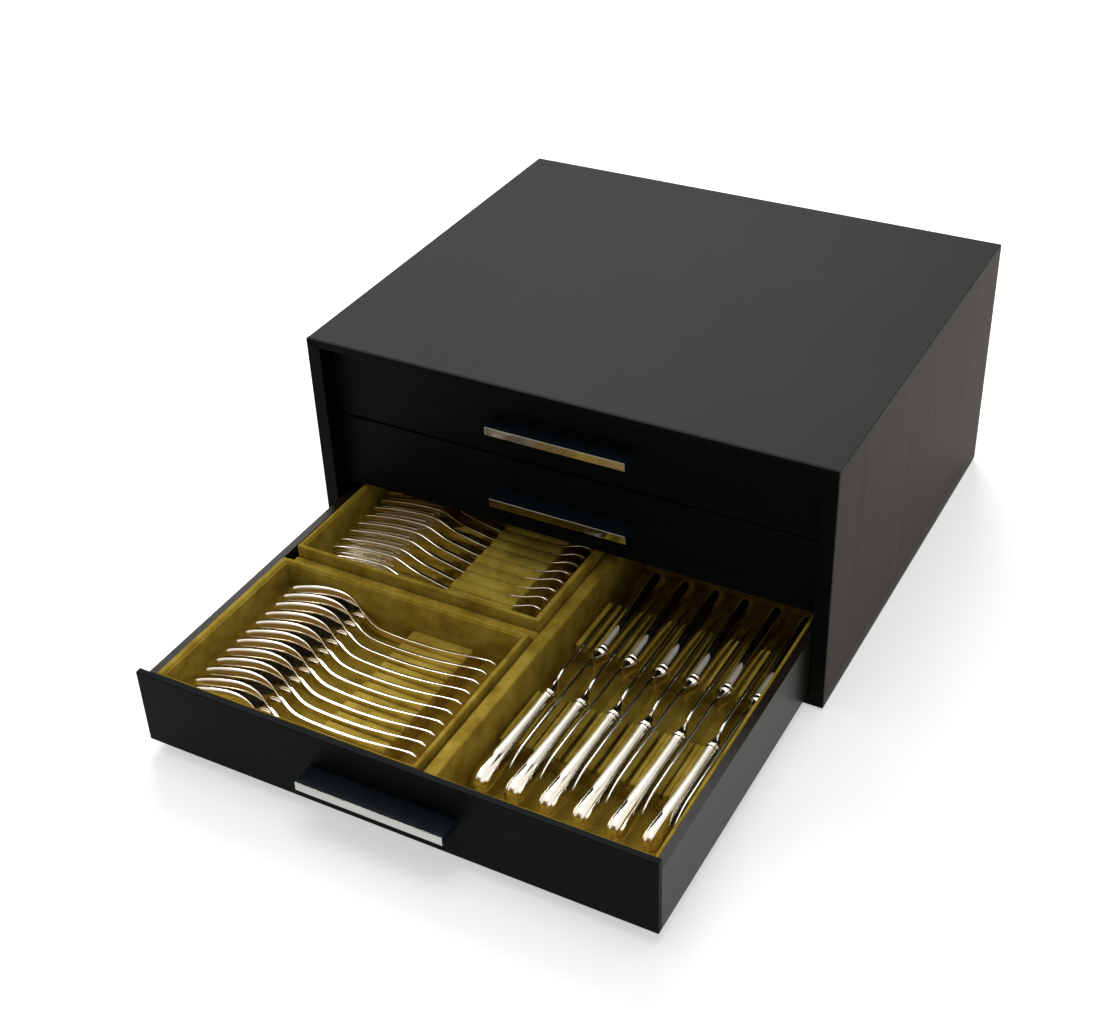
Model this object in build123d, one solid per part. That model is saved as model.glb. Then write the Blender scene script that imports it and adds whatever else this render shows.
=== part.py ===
from build123d import *
import os
from math import sqrt

# A lacquered silverware chest with three full-width drawers. The two upper drawers are shut, and the
# bottom one stands open on its velvet-lined trays of spoons, forks and knives.
# Millimetres. The origin is at the centre of the carcass's footprint, on the surface that it stands on.
# +Z is up, -Y is the front, and +X is on the right of someone who faces the drawers.

# ---- driving dimensions of the carcass ----
WIDTH = 446.0            # over the side panels
DEPTH = 384.0            # front edge to back
BODY_HEIGHT = 215.0      # underside of the base panel to the top face
FOOT_HEIGHT = 2.0        # felt pads under the base
SIDE_THICK = 12.0
TOP_THICK = 6.5
BASE_THICK = 8.5
BACK_THICK = 5.0
LIPPING_DEPTH = 3.0      # solid strips, mitred at the corners, that cover the panels' front edges
EDGE_ROUND = 0.6         # softened edges of lacquered pieces

# ---- driving dimensions of the drawers ----
RECESS = 15.0            # a shut front stands this far behind the carcass's front edge
OPENING = 276.0          # how far the bottom drawer is drawn out
FRONT_GAP = 1.6          # between one front and the next
SIDE_GAP = 0.75          # between a drawer and the side panel
BASE_GAP = 0.5           # under the bottom drawer
TOP_GAP = 1.3            # over the top drawer
RUNNER_GAP = 0.3         # between a drawer and the runners under it
FACE_THICK = 5.2         # lacquered face board
INNER_THICK = 12.8       # board behind the face, at its two ends
RELIEF = 6.3             # routed out of the inside of that board, between its ends
WALL_THICK = 6.5         # drawer sides and back
WALL_DROP = 9.5          # the walls end this far below the top of the face
BOX_LENGTH = 350.0       # front face to the outside of the back
FLOOR_LIFT = 1.5
FLOOR_THICK = 3.5
LINING = 1.5             # velvet-covered card on the drawer's floor
WALL_LINING = 3.0        # velvet-covered pads on the drawer's walls

# ---- driving dimensions of the pulls ----
PULL_LENGTH = 119.6
PULL_DEPTH = 19.0
PULL_HEIGHT = 7.2
STRIP_THICK = 1.2        # bright strip on the pull's front edge
STRIP_ROUND = 0.4
GROOVE_DEPTH = 1.4       # finger groove under the ledge
GROOVE_END = 5.0         # the ledge is left whole this far from its ends and from the drawer's face
GROOVE_LIP = 3.0         # and this far behind the strip
PULL_SCREW_SPACING = 80.0
PULL_SCREW_R = 2.0

# ---- driving dimensions of the bottom drawer's fittings, in the drawer's own frame ----
DIVIDER_LEFT = 24.5      # long divider between the trays and the knives
DIVIDER_RIGHT = 35.5
DIVIDER_TOP = 52.5
CROSS_FRONT = 174.0      # cross divider between the two trays
CROSS_BACK = 182.5
SPOON_RIM = 57.8         # height of each tray's rim over the drawer's lower edge
FORK_RIM = 62.3
TRAY_FLOOR = 2.0
SPOON_WALLS = dict(left=6.0, right=3.5, front=1.2, rear=4.5)
FORK_WALLS = dict(left=4.0, right=4.0, front=4.0, rear=4.0)
END_LINING = 2.5         # velvet-covered pads on a drawer's front and back
FLATWARE_COUNT = 12
FLATWARE_PITCH = 12.4
KNIFE_PAIRS = 6
KNIFE_PITCH = 26.1       # from one front-handled knife to the next
COUNTER_PITCH = 25.6     # the same for the knives that point the other way
KNIFE_LENGTH = 250.0

# ---- what follows from them ----
BODY_BOTTOM = FOOT_HEIGHT
BODY_TOP = FOOT_HEIGHT + BODY_HEIGHT
FRONT_EDGE = -DEPTH / 2
BACK_EDGE = DEPTH / 2
INNER_HALF = WIDTH / 2 - SIDE_THICK
HALF_DRAWER = INNER_HALF - SIDE_GAP
ROOM = BODY_HEIGHT - BASE_THICK - TOP_THICK
FACE_HEIGHT = (ROOM - BASE_GAP - TOP_GAP - 2 * FRONT_GAP) / 3
WALL_HEIGHT = FACE_HEIGHT - WALL_DROP
SIDE_START = FACE_THICK + INNER_THICK
BOX_FRONT = SIDE_START - RELIEF
HALF_INSIDE = HALF_DRAWER - WALL_THICK
INSIDE_BACK = BOX_LENGTH - WALL_THICK
LINED_FLOOR = FLOOR_LIFT + FLOOR_THICK + LINING
DRAWER_STEP = FACE_HEIGHT + FRONT_GAP
BOTTOM_BASE = BODY_BOTTOM + BASE_THICK + BASE_GAP
DRAWER_BASES = {
    "bottom": BOTTOM_BASE,
    "middle": BOTTOM_BASE + DRAWER_STEP,
    "top": BOTTOM_BASE + 2 * DRAWER_STEP,
}
SHUT_FACE = FRONT_EDGE + RECESS
OPEN_FACE = SHUT_FACE - OPENING

os.makedirs("parts", exist_ok=True)


def save(name, *solids):
    """Writes one node: a single solid, or several separate solids as one compound."""
    shape = solids[0] if len(solids) == 1 else Compound(children=list(solids))
    export_step(shape, f"parts/{name}.step")


def block(x, y, z):
    """A box from three (low, high) pairs."""
    size = [high - low for low, high in (x, y, z)]
    middle = [(high + low) / 2 for low, high in (x, y, z)]
    return Pos(*middle) * Box(*size)


def rod_along_y(radius, x, z, y_low, y_high):
    return Pos(x, (y_low + y_high) / 2, z) * Rot(90, 0, 0) * Cylinder(radius, y_high - y_low)


# ------------------------------------------------------------------ carcass


def back_screw_places():
    """Where the back panel is screwed to the side panels: x and z of each screw."""
    inset = 30.0
    edge = INNER_HALF + 3.0
    heights = (BODY_BOTTOM + inset, (BODY_BOTTOM + BODY_TOP) / 2, BODY_TOP - inset)
    return [(side * edge, z) for side in (-1, 1) for z in heights]


BACK_SCREW_R = 1.5
BACK_SCREW_LENGTH = 16.0
BACK_HEAD_R = 2.9
BACK_HEAD_DEPTH = 1.6
REBATE = 6.0             # the side panels are rebated this far for the back panel


def side_panel(side):
    """One side panel, rebated at the rear for the back panel and drilled for its screws."""
    x = sorted((side * INNER_HALF, side * WIDTH / 2))
    z = (BODY_BOTTOM + BASE_THICK, BODY_TOP - TOP_THICK)
    panel = block(x, (FRONT_EDGE + LIPPING_DEPTH, BACK_EDGE), z)
    rebate_x = sorted((side * INNER_HALF, side * (INNER_HALF + REBATE)))
    panel -= block(rebate_x, (BACK_EDGE - BACK_THICK, BACK_EDGE), z)
    for screw_x, screw_z in back_screw_places():
        if screw_x * side > 0:
            panel -= rod_along_y(BACK_SCREW_R, screw_x, screw_z, BACK_EDGE - BACK_SCREW_LENGTH, BACK_EDGE)
    return panel


def back_panel():
    """The back, let into the rebates, with countersunk holes."""
    half = INNER_HALF + REBATE
    z = (BODY_BOTTOM + BASE_THICK, BODY_TOP - TOP_THICK)
    panel = block((-half, half), (BACK_EDGE - BACK_THICK, BACK_EDGE), z)
    for x, z_hole in back_screw_places():
        panel -= rod_along_y(BACK_SCREW_R, x, z_hole, BACK_EDGE - BACK_THICK, BACK_EDGE)
        panel -= rod_along_y(BACK_HEAD_R, x, z_hole, BACK_EDGE - BACK_HEAD_DEPTH, BACK_EDGE)
    return panel


def back_screw(x, z):
    """A flat-headed screw with a cross slot, its head flush with the back."""
    tip = BACK_EDGE - BACK_SCREW_LENGTH
    shank = rod_along_y(BACK_SCREW_R, x, z, tip, BACK_EDGE - BACK_HEAD_DEPTH)
    head = rod_along_y(BACK_HEAD_R, x, z, BACK_EDGE - BACK_HEAD_DEPTH, BACK_EDGE)
    slot_half = 1.8
    slot_width = 0.4
    slot_depth = 0.8
    y = (BACK_EDGE - slot_depth, BACK_EDGE)
    head -= block((x - slot_half, x + slot_half), y, (z - slot_width, z + slot_width))
    head -= block((x - slot_width, x + slot_width), y, (z - slot_half, z + slot_half))
    return shank + head


def lipping(points):
    """A mitred strip on the front edge of the carcass, from its outline seen from the front."""
    face = make_face(Polyline(*[(x, z) for x, z in points], close=True))
    strip = extrude(Plane.XZ.offset(-FRONT_EDGE) * face, -LIPPING_DEPTH)
    front_edges = strip.edges().group_by(Axis.Y)[0]
    return fillet(front_edges, EDGE_ROUND)


def front_lippings():
    """Four strips that meet on mitres: the top, the base and the two sides."""
    outer = WIDTH / 2
    high = BODY_TOP
    low = BODY_BOTTOM
    top_in = BODY_TOP - TOP_THICK
    base_in = BODY_BOTTOM + BASE_THICK
    top = lipping([(-outer, high), (outer, high), (INNER_HALF, top_in), (-INNER_HALF, top_in)])
    base = lipping([(-outer, low), (outer, low), (INNER_HALF, base_in), (-INNER_HALF, base_in)])
    left = lipping([(-outer, low), (-INNER_HALF, base_in), (-INNER_HALF, top_in), (-outer, high)])
    right = lipping([(outer, low), (INNER_HALF, base_in), (INNER_HALF, top_in), (outer, high)])
    return top, base, left, right


RUNNER_WIDTH = 11.0
RUNNER_HEIGHT = 7.5
RUNNER_FRONT = SHUT_FACE + FACE_THICK + 2.0
STOP_DEPTH = 13.5
STOP_SIZE = 11.0


def runners(side):
    """The two runners on one side panel, which carry the middle and the top drawer."""
    x = sorted((side * INNER_HALF, side * (INNER_HALF - RUNNER_WIDTH)))
    strips = []
    for name in ("middle", "top"):
        top = DRAWER_BASES[name] - RUNNER_GAP
        strips.append(block(x, (RUNNER_FRONT, BACK_EDGE - BACK_THICK), (top - RUNNER_HEIGHT, top)))
    return strips


def stop_blocks():
    """Blocks behind the drawers, two for each, that stop them where they are shut."""
    seats = {
        "bottom": BODY_BOTTOM + BASE_THICK,
        "middle": DRAWER_BASES["middle"] - RUNNER_GAP,
        "top": DRAWER_BASES["top"] - RUNNER_GAP,
    }
    back = BACK_EDGE - BACK_THICK
    blocks = []
    for seat in seats.values():
        for side in (-1, 1):
            x = sorted((side * INNER_HALF, side * (INNER_HALF - STOP_SIZE)))
            blocks.append(block(x, (back - STOP_DEPTH, back), (seat, seat + STOP_SIZE)))
    return blocks


def felt_pads():
    """Four round felt pads under the base."""
    radius = 10.0
    inset = 22.0
    x_place = WIDTH / 2 - inset
    y_place = DEPTH / 2 - inset
    pad = Pos(0, 0, FOOT_HEIGHT / 2) * Cylinder(radius, FOOT_HEIGHT)
    return [Pos(x, y, 0) * pad for x in (-x_place, x_place) for y in (-y_place, y_place)]


def build_carcass():
    outer = (-WIDTH / 2, WIDTH / 2)
    behind_lipping = (FRONT_EDGE + LIPPING_DEPTH, BACK_EDGE)
    top = block(outer, behind_lipping, (BODY_TOP - TOP_THICK, BODY_TOP))
    top = fillet(top.faces().sort_by(Axis.Z)[-1].edges().sort_by(Axis.Y)[1:], EDGE_ROUND)
    base = block(outer, behind_lipping, (BODY_BOTTOM, BODY_BOTTOM + BASE_THICK))
    save("top_panel", top)
    save("base_panel", base)
    save("left_side_panel", side_panel(-1))
    save("right_side_panel", side_panel(1))
    save("back_panel", back_panel())
    save("back_panel_screws", *[back_screw(x, z) for x, z in back_screw_places()])
    names = ("top", "base", "left", "right")
    for name, strip in zip(names, front_lippings()):
        save(f"front_lipping_{name}", strip)
    save("left_runners", *runners(-1))
    save("right_runners", *runners(1))
    save("drawer_stop_blocks", *stop_blocks())
    save("felt_pads", *felt_pads())


# ------------------------------------------------------------------ drawers
# A drawer's own frame has x = 0 on its middle, y = 0 on its front face and z = 0 on its lower edge.

SCREW_TIP = -9.0         # the pull's screws end inside the ledge
SCREW_HEAD_R = 4.0
SCREW_HEAD_DEPTH = 2.4


def pull_screw_holes(y_low, y_high):
    """Two rods as thick as the pull's screws, used to drill and to make them."""
    z = FACE_HEIGHT / 2
    places = (-PULL_SCREW_SPACING / 2, PULL_SCREW_SPACING / 2)
    return [rod_along_y(PULL_SCREW_R, x, z, y_low, y_high) for x in places]


def pull_screws():
    """Two screws from inside the drawer front, with driver slots in their flush heads."""
    z = FACE_HEIGHT / 2
    screws = []
    for shank in pull_screw_holes(SCREW_TIP, BOX_FRONT - SCREW_HEAD_DEPTH):
        x = shank.center().X
        head = rod_along_y(SCREW_HEAD_R, x, z, BOX_FRONT - SCREW_HEAD_DEPTH, BOX_FRONT)
        slot_half = 2.6
        slot_width = 0.5
        slot_depth = 1.2
        y = (BOX_FRONT - slot_depth, BOX_FRONT)
        head -= block((x - slot_half, x + slot_half), y, (z - slot_width, z + slot_width))
        screws.append(shank + head)
    return screws


PULL_X = (-PULL_LENGTH / 2, PULL_LENGTH / 2)
PULL_Z = ((FACE_HEIGHT - PULL_HEIGHT) / 2, (FACE_HEIGHT + PULL_HEIGHT) / 2)


def pull_ledge():
    """The dark ledge of the pull, with a finger groove under it."""
    ledge_front = STRIP_THICK - PULL_DEPTH
    ledge = block(PULL_X, (ledge_front, 0), PULL_Z)
    groove_x = (PULL_X[0] + GROOVE_END, PULL_X[1] - GROOVE_END)
    groove_y = (ledge_front + GROOVE_LIP, -GROOVE_END)
    ledge -= block(groove_x, groove_y, (PULL_Z[0], PULL_Z[0] + GROOVE_DEPTH))
    for hole in pull_screw_holes(SCREW_TIP, 0):
        ledge -= hole
    return ledge


def pull_strip():
    """The bright strip along the pull's front edge."""
    strip = block(PULL_X, (-PULL_DEPTH, STRIP_THICK - PULL_DEPTH), PULL_Z)
    return fillet(strip.faces().sort_by(Axis.Y)[0].edges(), STRIP_ROUND)


def face_board():
    """The lacquered face, drilled for the pull's screws."""
    board = block((-HALF_DRAWER, HALF_DRAWER), (0, FACE_THICK), (0, FACE_HEIGHT))
    board = fillet(board.faces().sort_by(Axis.Y)[0].edges(), EDGE_ROUND)
    for hole in pull_screw_holes(0, FACE_THICK):
        board -= hole
    return board


def inner_front():
    """The board behind the face, as wide as the drawer. The sides butt against its two thick ends."""
    board = block((-HALF_DRAWER, HALF_DRAWER), (FACE_THICK, SIDE_START), (0, WALL_HEIGHT))
    board -= block((-HALF_INSIDE, HALF_INSIDE), (BOX_FRONT, SIDE_START), (0, WALL_HEIGHT))
    for hole in pull_screw_holes(FACE_THICK, BOX_FRONT):
        board -= hole
        head = (BOX_FRONT - SCREW_HEAD_DEPTH, BOX_FRONT)
        board -= rod_along_y(SCREW_HEAD_R, hole.center().X, FACE_HEIGHT / 2, *head)
    return board


def drawer_side(side):
    x = sorted((side * HALF_INSIDE, side * HALF_DRAWER))
    return block(x, (SIDE_START, BOX_LENGTH), (0, WALL_HEIGHT))


def floor_lining():
    return block((-HALF_INSIDE, HALF_INSIDE), (BOX_FRONT, INSIDE_BACK), (LINED_FLOOR - LINING, LINED_FLOOR))


def wall_pad(x, y):
    """A velvet pad on a wall, from the lined floor up to the wall's top."""
    return block(x, y, (LINED_FLOOR, WALL_HEIGHT))


def build_drawer_box(name, place):
    """The pieces that all three drawers have."""
    inside = (-HALF_INSIDE, HALF_INSIDE)
    back = block(inside, (INSIDE_BACK, BOX_LENGTH), (0, WALL_HEIGHT))
    floor = block(inside, (BOX_FRONT, INSIDE_BACK), (FLOOR_LIFT, FLOOR_LIFT + FLOOR_THICK))
    save(f"{name}_drawer_face", place * face_board())
    save(f"{name}_drawer_inner_front", place * inner_front())
    save(f"{name}_drawer_left_side", place * drawer_side(-1))
    save(f"{name}_drawer_right_side", place * drawer_side(1))
    save(f"{name}_drawer_back", place * back)
    save(f"{name}_drawer_floor", place * floor)
    save(f"{name}_pull_ledge", place * pull_ledge())
    save(f"{name}_pull_strip", place * pull_strip())
    save(f"{name}_pull_screws", *[place * screw for screw in pull_screws()])


# ------------------------------------------------------------------ velvet racks

RIB_ROUND = 1.6
RIB_ROUND_SHARE = 0.35   # a narrow rib's top is rounded by this share of its width
THINNEST_RIB = 1.0       # a rack has no rib where its last slot runs beside the wall


def rib(x, y, z):
    """One velvet rib with a rounded top, longest along x or along y."""
    body = block(x, y, z)
    along = Axis.X if x[1] - x[0] > y[1] - y[0] else Axis.Y
    top = body.faces().sort_by(Axis.Z)[-1]
    width = min(x[1] - x[0], y[1] - y[0])
    return fillet(top.edges().filter_by(along), min(RIB_ROUND, width * RIB_ROUND_SHARE))


def rack(length, across, slots, levels, along_x):
    """A rack: a base block with a rib between each slot and the next.

    length is the (low, high) extent of the ribs along their own direction, and across the (low, high)
    extent of the rack square to it. slots is a list of (middle, width), and levels are the heights of
    the block's underside, the slots' floors and the ribs' tops.
    """
    base_z, base_top, rib_top = levels
    edges = [across[0]]
    for middle, width in sorted(slots):
        edges += [middle - width / 2, middle + width / 2]
    edges.append(across[1])
    x, y = (length, across) if along_x else (across, length)
    pieces = [block(x, y, (base_z, base_top))]
    for low, high in zip(edges[0::2], edges[1::2]):
        if high - low < THINNEST_RIB:
            continue
        x, y = (length, (low, high)) if along_x else ((low, high), length)
        pieces.append(rib(x, y, (base_top, rib_top)))
    return pieces


# ------------------------------------------------------------------ cutlery
# A spoon or fork lies on its edge, with its width upright. In its own frame x = 0 is the handle's end and
# the other end has a negative x, y = 0 is the line that its place in the row is measured on, and z = 0 is
# its middle line.

SPOON_GAUGE = 2.2
SPOON_END_HALF = 9.4     # half of the handle's width near its end
BOWL_HALF_LENGTH = 36.0
BOWL_HALF_WIDTH = 20.0
BOWL_DEPTH = 6.6         # from the rim to the belly
BOWL_GAUGE = 1.6
BOWL_MIDDLE = (-168.4, -1.2)
BOWL_TURN = 11.7         # degrees by which the bowl's tip leans to the front
STEM_WAIST = [(-34.0, 6.3), (-56.0, 4.2)]    # distance from the end, and half of the width there
NECK_HALF = 3.0
FORK_LENGTH = 198.0
FORK_END_HALF = 10.5
FORK_GAUGE = 2.2
FORK_HALF_WIDTH = 12.5
FORK_NECK = 112.0        # from the handle's end to where the head starts to widen
FORK_SHOULDER = 146.0    # and to the roots of the tines
TIP_TAPER = 1.2          # the outer tines lean in this far at their tips
TINE_GAP = 2.8
TINES = 4


def bent_plate(path, outline, gauge):
    """A plate as thick as gauge that follows a path seen from above, cut to an outline seen from the side."""
    reach = 60.0
    band = extrude(trace(Spline(*path), gauge), reach / 2, both=True)
    cutter = extrude(Plane.XZ * outline, reach, both=True)
    return band & cutter


def handle_outline(neck, half):
    """The side view of a handle: a rounded end, broad by half on each side, and a waist down to the neck."""
    start = (0, 0)
    broad = (-half, half)
    bulge = (-half * (1 - sqrt(0.5)), half * sqrt(0.5))
    end = ThreePointArc(start, bulge, broad)
    waist = Spline(broad, *STEM_WAIST, (neck, NECK_HALF), tangents=[(-1, 0), (-1, 0)])
    upper = make_face(end + waist + Line((neck, NECK_HALF), (neck, 0)) + Line((neck, 0), start))
    return upper + mirror(upper, about=Plane.XZ)


def spoon_bowl():
    """Half of an ellipsoidal shell, with a flat rim and its hollow to the rear."""
    outside = scale(Sphere(1), (BOWL_HALF_LENGTH, BOWL_DEPTH, BOWL_HALF_WIDTH))
    inner_size = (BOWL_HALF_LENGTH - BOWL_GAUGE, BOWL_DEPTH - BOWL_GAUGE, BOWL_HALF_WIDTH - BOWL_GAUGE)
    shell = outside - scale(Sphere(1), inner_size)
    reach = 2 * BOWL_HALF_LENGTH
    return shell - block((-reach, reach), (0, reach), (-reach, reach))


def table_spoon():
    """A spoon on its edge, its bowl to the left with the belly to the front."""
    path = [(0.0, -8.6), (-24.0, -8.4), (-50.0, -8.7), (-80.0, -8.1), (-98.0, -7.2), (-110.0, -5.6)]
    path += [(-118.0, -2.6), (-125.0, 1.0), (-131.0, 3.8), (-135.0, 4.8)]
    stem = bent_plate(path, handle_outline(path[-1][0], SPOON_END_HALF), SPOON_GAUGE)
    return stem + Pos(*BOWL_MIDDLE, 0) * Rot(0, 0, BOWL_TURN) * spoon_bowl()


def fork_outline():
    """The side view of a fork: the handle, the shoulders, and the tines with their gaps cut out."""
    neck = -FORK_NECK
    shoulder = -FORK_SHOULDER
    tip = -FORK_LENGTH
    wide = FORK_HALF_WIDTH
    start = (neck, NECK_HALF)
    broad = (shoulder + 4.0, wide)
    corner = (tip, wide - TIP_TAPER)
    flare = Spline(start, (neck - 16.0, 8.6), broad, tangents=[(-1, 0), (-1, 0.1)])
    edge = Polyline(broad, corner, (tip, 0), (neck, 0), start)
    head = make_face(flare + edge)
    outline = handle_outline(neck, FORK_END_HALF) + head + mirror(head, about=Plane.XZ)
    spacing = (2 * wide + TINE_GAP) / TINES
    gap_length = shoulder - tip
    for number in range(1, TINES):
        z = number * spacing - wide - TINE_GAP / 2
        gap = Rectangle(gap_length, TINE_GAP) + Pos(gap_length / 2, 0) * Circle(TINE_GAP / 2)
        outline -= Pos(tip + gap_length / 2, z) * gap
    return outline


def table_fork():
    """A fork on its edge, its tines to the left and their tips bent to the front."""
    path = [(0.0, -3.4), (-10, -4.6), (-26, -5.2), (-50, -7.2), (-72, -8.0), (-90, -6.0), (-110, -1.6)]
    path += [(-128, -0.6), (-147, -0.8), (-170, -2.8), (-FORK_LENGTH, -8.2)]
    return bent_plate(path, fork_outline(), FORK_GAUGE)


# A knife stands on its edge, its back upwards. In its own frame y = 0 is the handle's end and the blade
# points to +y, x = 0 is its middle plane, and z = 0 is the handle's axis.

GRIP_FULLEST = (12.0, 10.5)    # distance from the handle's end, and half of the height there
GRIP_MIDDLE = (50.0, 8.7)
GRIP_WAIST = (94.0, 6.6)
GRIP_FLATNESS = 0.70     # width of the handle, as a share of its height
RING_START = 108.0
RING_END = 111.0
RING_SIZE = (11.6, 14.6)       # width and height
CONE_ROOT = (10.2, 13.0)
CONE_TIP = (3.0, 15.2)
CONE_END = 123.0
TANG_START = 98.0
TANG_HALF = 2.6
BLADE_THICK = 2.0
BLADE_BACK = 9.5         # height of the blade's back over the handle's axis
BLADE_EDGE = -9.5
BLADE_HEEL = 7.4         # half of the blade's height where it leaves the cone
BLADE_SHOULDER = 132.0
BLADE_BEND = 222.0       # the edge starts to rise towards the point here
POINT_DROP = 7.0         # the point lies this far below the back


def upright_ellipse(size, y):
    """An ellipse square to the knife's length, from its width and height."""
    return Plane.XZ.offset(-y) * Ellipse(size[0] / 2, size[1] / 2)


def knife_handle():
    """A hollow-cast handle with its ring and its cone, slotted for the tang."""
    fullest = GRIP_FULLEST
    butt = ThreePointArc((0, 0), (fullest[0] * (1 - sqrt(0.5)), fullest[1] * sqrt(0.5)), fullest)
    waist = (RING_START, GRIP_WAIST[1])
    taper = Spline(fullest, GRIP_MIDDLE, GRIP_WAIST, waist, tangents=[(1, 0), (1, 0)])
    outline = make_face(butt + taper + Line(waist, (RING_START, 0)) + Line((RING_START, 0), (0, 0)))
    grip = scale(revolve(Plane.YZ * outline, Axis.Y, 360), (GRIP_FLATNESS, 1, 1))
    ring = extrude(upright_ellipse(RING_SIZE, RING_START), RING_START - RING_END)
    cone = loft([upright_ellipse(CONE_ROOT, RING_END), upright_ellipse(CONE_TIP, CONE_END)])
    tang = block((-BLADE_THICK / 2, BLADE_THICK / 2), (TANG_START, CONE_END), (-TANG_HALF, TANG_HALF))
    return grip + ring + cone - tang


def knife_blade():
    """A blade with a straight back, an edge that rises to a blunt point, and its tang."""
    root = CONE_END
    point = (KNIFE_LENGTH, BLADE_BACK - POINT_DROP)
    back_end = (BLADE_BEND, BLADE_BACK)
    edge_end = (BLADE_BEND, BLADE_EDGE)
    fall = ThreePointArc(back_end, (KNIFE_LENGTH - 9.0, BLADE_BACK - 2.2), point)
    rise = ThreePointArc(point, (KNIFE_LENGTH - 8.0, BLADE_EDGE + 5.0), edge_end)
    lower = Polyline(edge_end, (BLADE_SHOULDER, BLADE_EDGE), (root, -BLADE_HEEL), (root, -TANG_HALF))
    tang = Polyline((root, -TANG_HALF), (TANG_START, -TANG_HALF), (TANG_START, TANG_HALF), (root, TANG_HALF))
    upper = Polyline((root, TANG_HALF), (root, BLADE_HEEL), (BLADE_SHOULDER, BLADE_BACK), back_end)
    profile = make_face(fall + rise + lower + tang + upper)
    return extrude(Plane.YZ * profile, BLADE_THICK / 2, both=True)


# ------------------------------------------------------------------ bottom drawer's fittings

CLEAR = 0.3
SPOON_END_X = 7.0        # where the handles end
SPOON_FIRST_Y = 160.6    # the rearmost spoon
SPOON_AXIS_Z = 28.8
SPOON_RACK_X = (-80.0, -25.0)
SPOON_RACK_LEVELS = (21.5, 29.5)     # the slots' floors and the ribs' tops
SPOON_SLOT = 5.0
SPOON_SLOT_SHIFT = -8.3  # from a spoon's place to the middle of its slot
FORK_END_X = 10.0
FORK_FIRST_Y = 333.2
FORK_AXIS_Z = 34.5
FORK_RACK_X = (-75.0, -16.5)
FORK_RACK_LEVELS = (26.0, 40.5)
FORK_SLOT = 6.2
FORK_SLOT_SHIFT = -6.7
FORK_BED_X = (-191.0, -104.0)
FORK_BED_GAP = 0.1       # between the bed and the forks' heads
KNIFE_FIRST_X = 52.0
COUNTER_FIRST_X = 64.0
KNIFE_FRONT_Y = 36.5     # the handles' ends at the front
KNIFE_BACK_Y = 314.0     # and at the back
KNIFE_AXIS_Z = 28.0
KNIFE_RACK_X = (38.0, 200.4)
FRONT_RACK_Y = (94.0, 152.0)
REAR_RACK_Y = (212.0, 270.5)
KNIFE_RIB_TOP = 24.5
EDGE_GAP = 0.4           # under the blades' edges
GRIP_SLOT = 13.2
BLADE_SLOT = 3.6

SPOON_TRAY_X = (CLEAR - HALF_INSIDE, 22.3)
SPOON_TRAY_Y = (BOX_FRONT + CLEAR, 172.0)
FORK_TRAY_X = (-197.5, 23.5)
FORK_TRAY_Y = (CROSS_BACK + 0.5, 342.5)


def tray(x, y, rim, left, right, front, rear):
    """An open tray: its floor and four walls as separate boards, of the wall thicknesses given."""
    floor_top = LINED_FLOOR + TRAY_FLOOR
    upright = (floor_top, rim)
    inner_x = (x[0] + left, x[1] - right)
    return [
        block(x, y, (LINED_FLOOR, floor_top)),
        block((x[0], inner_x[0]), y, upright),
        block((inner_x[1], x[1]), y, upright),
        block(inner_x, (y[0], y[0] + front), upright),
        block(inner_x, (y[1] - rear, y[1]), upright),
    ]


def between_walls(tray_y, walls):
    """The room for a rack between a tray's front and rear walls."""
    return (tray_y[0] + walls["front"] + CLEAR, tray_y[1] - walls["rear"] - CLEAR)


def rows(first, pitch, count):
    return [first + pitch * number for number in range(count)]


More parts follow.
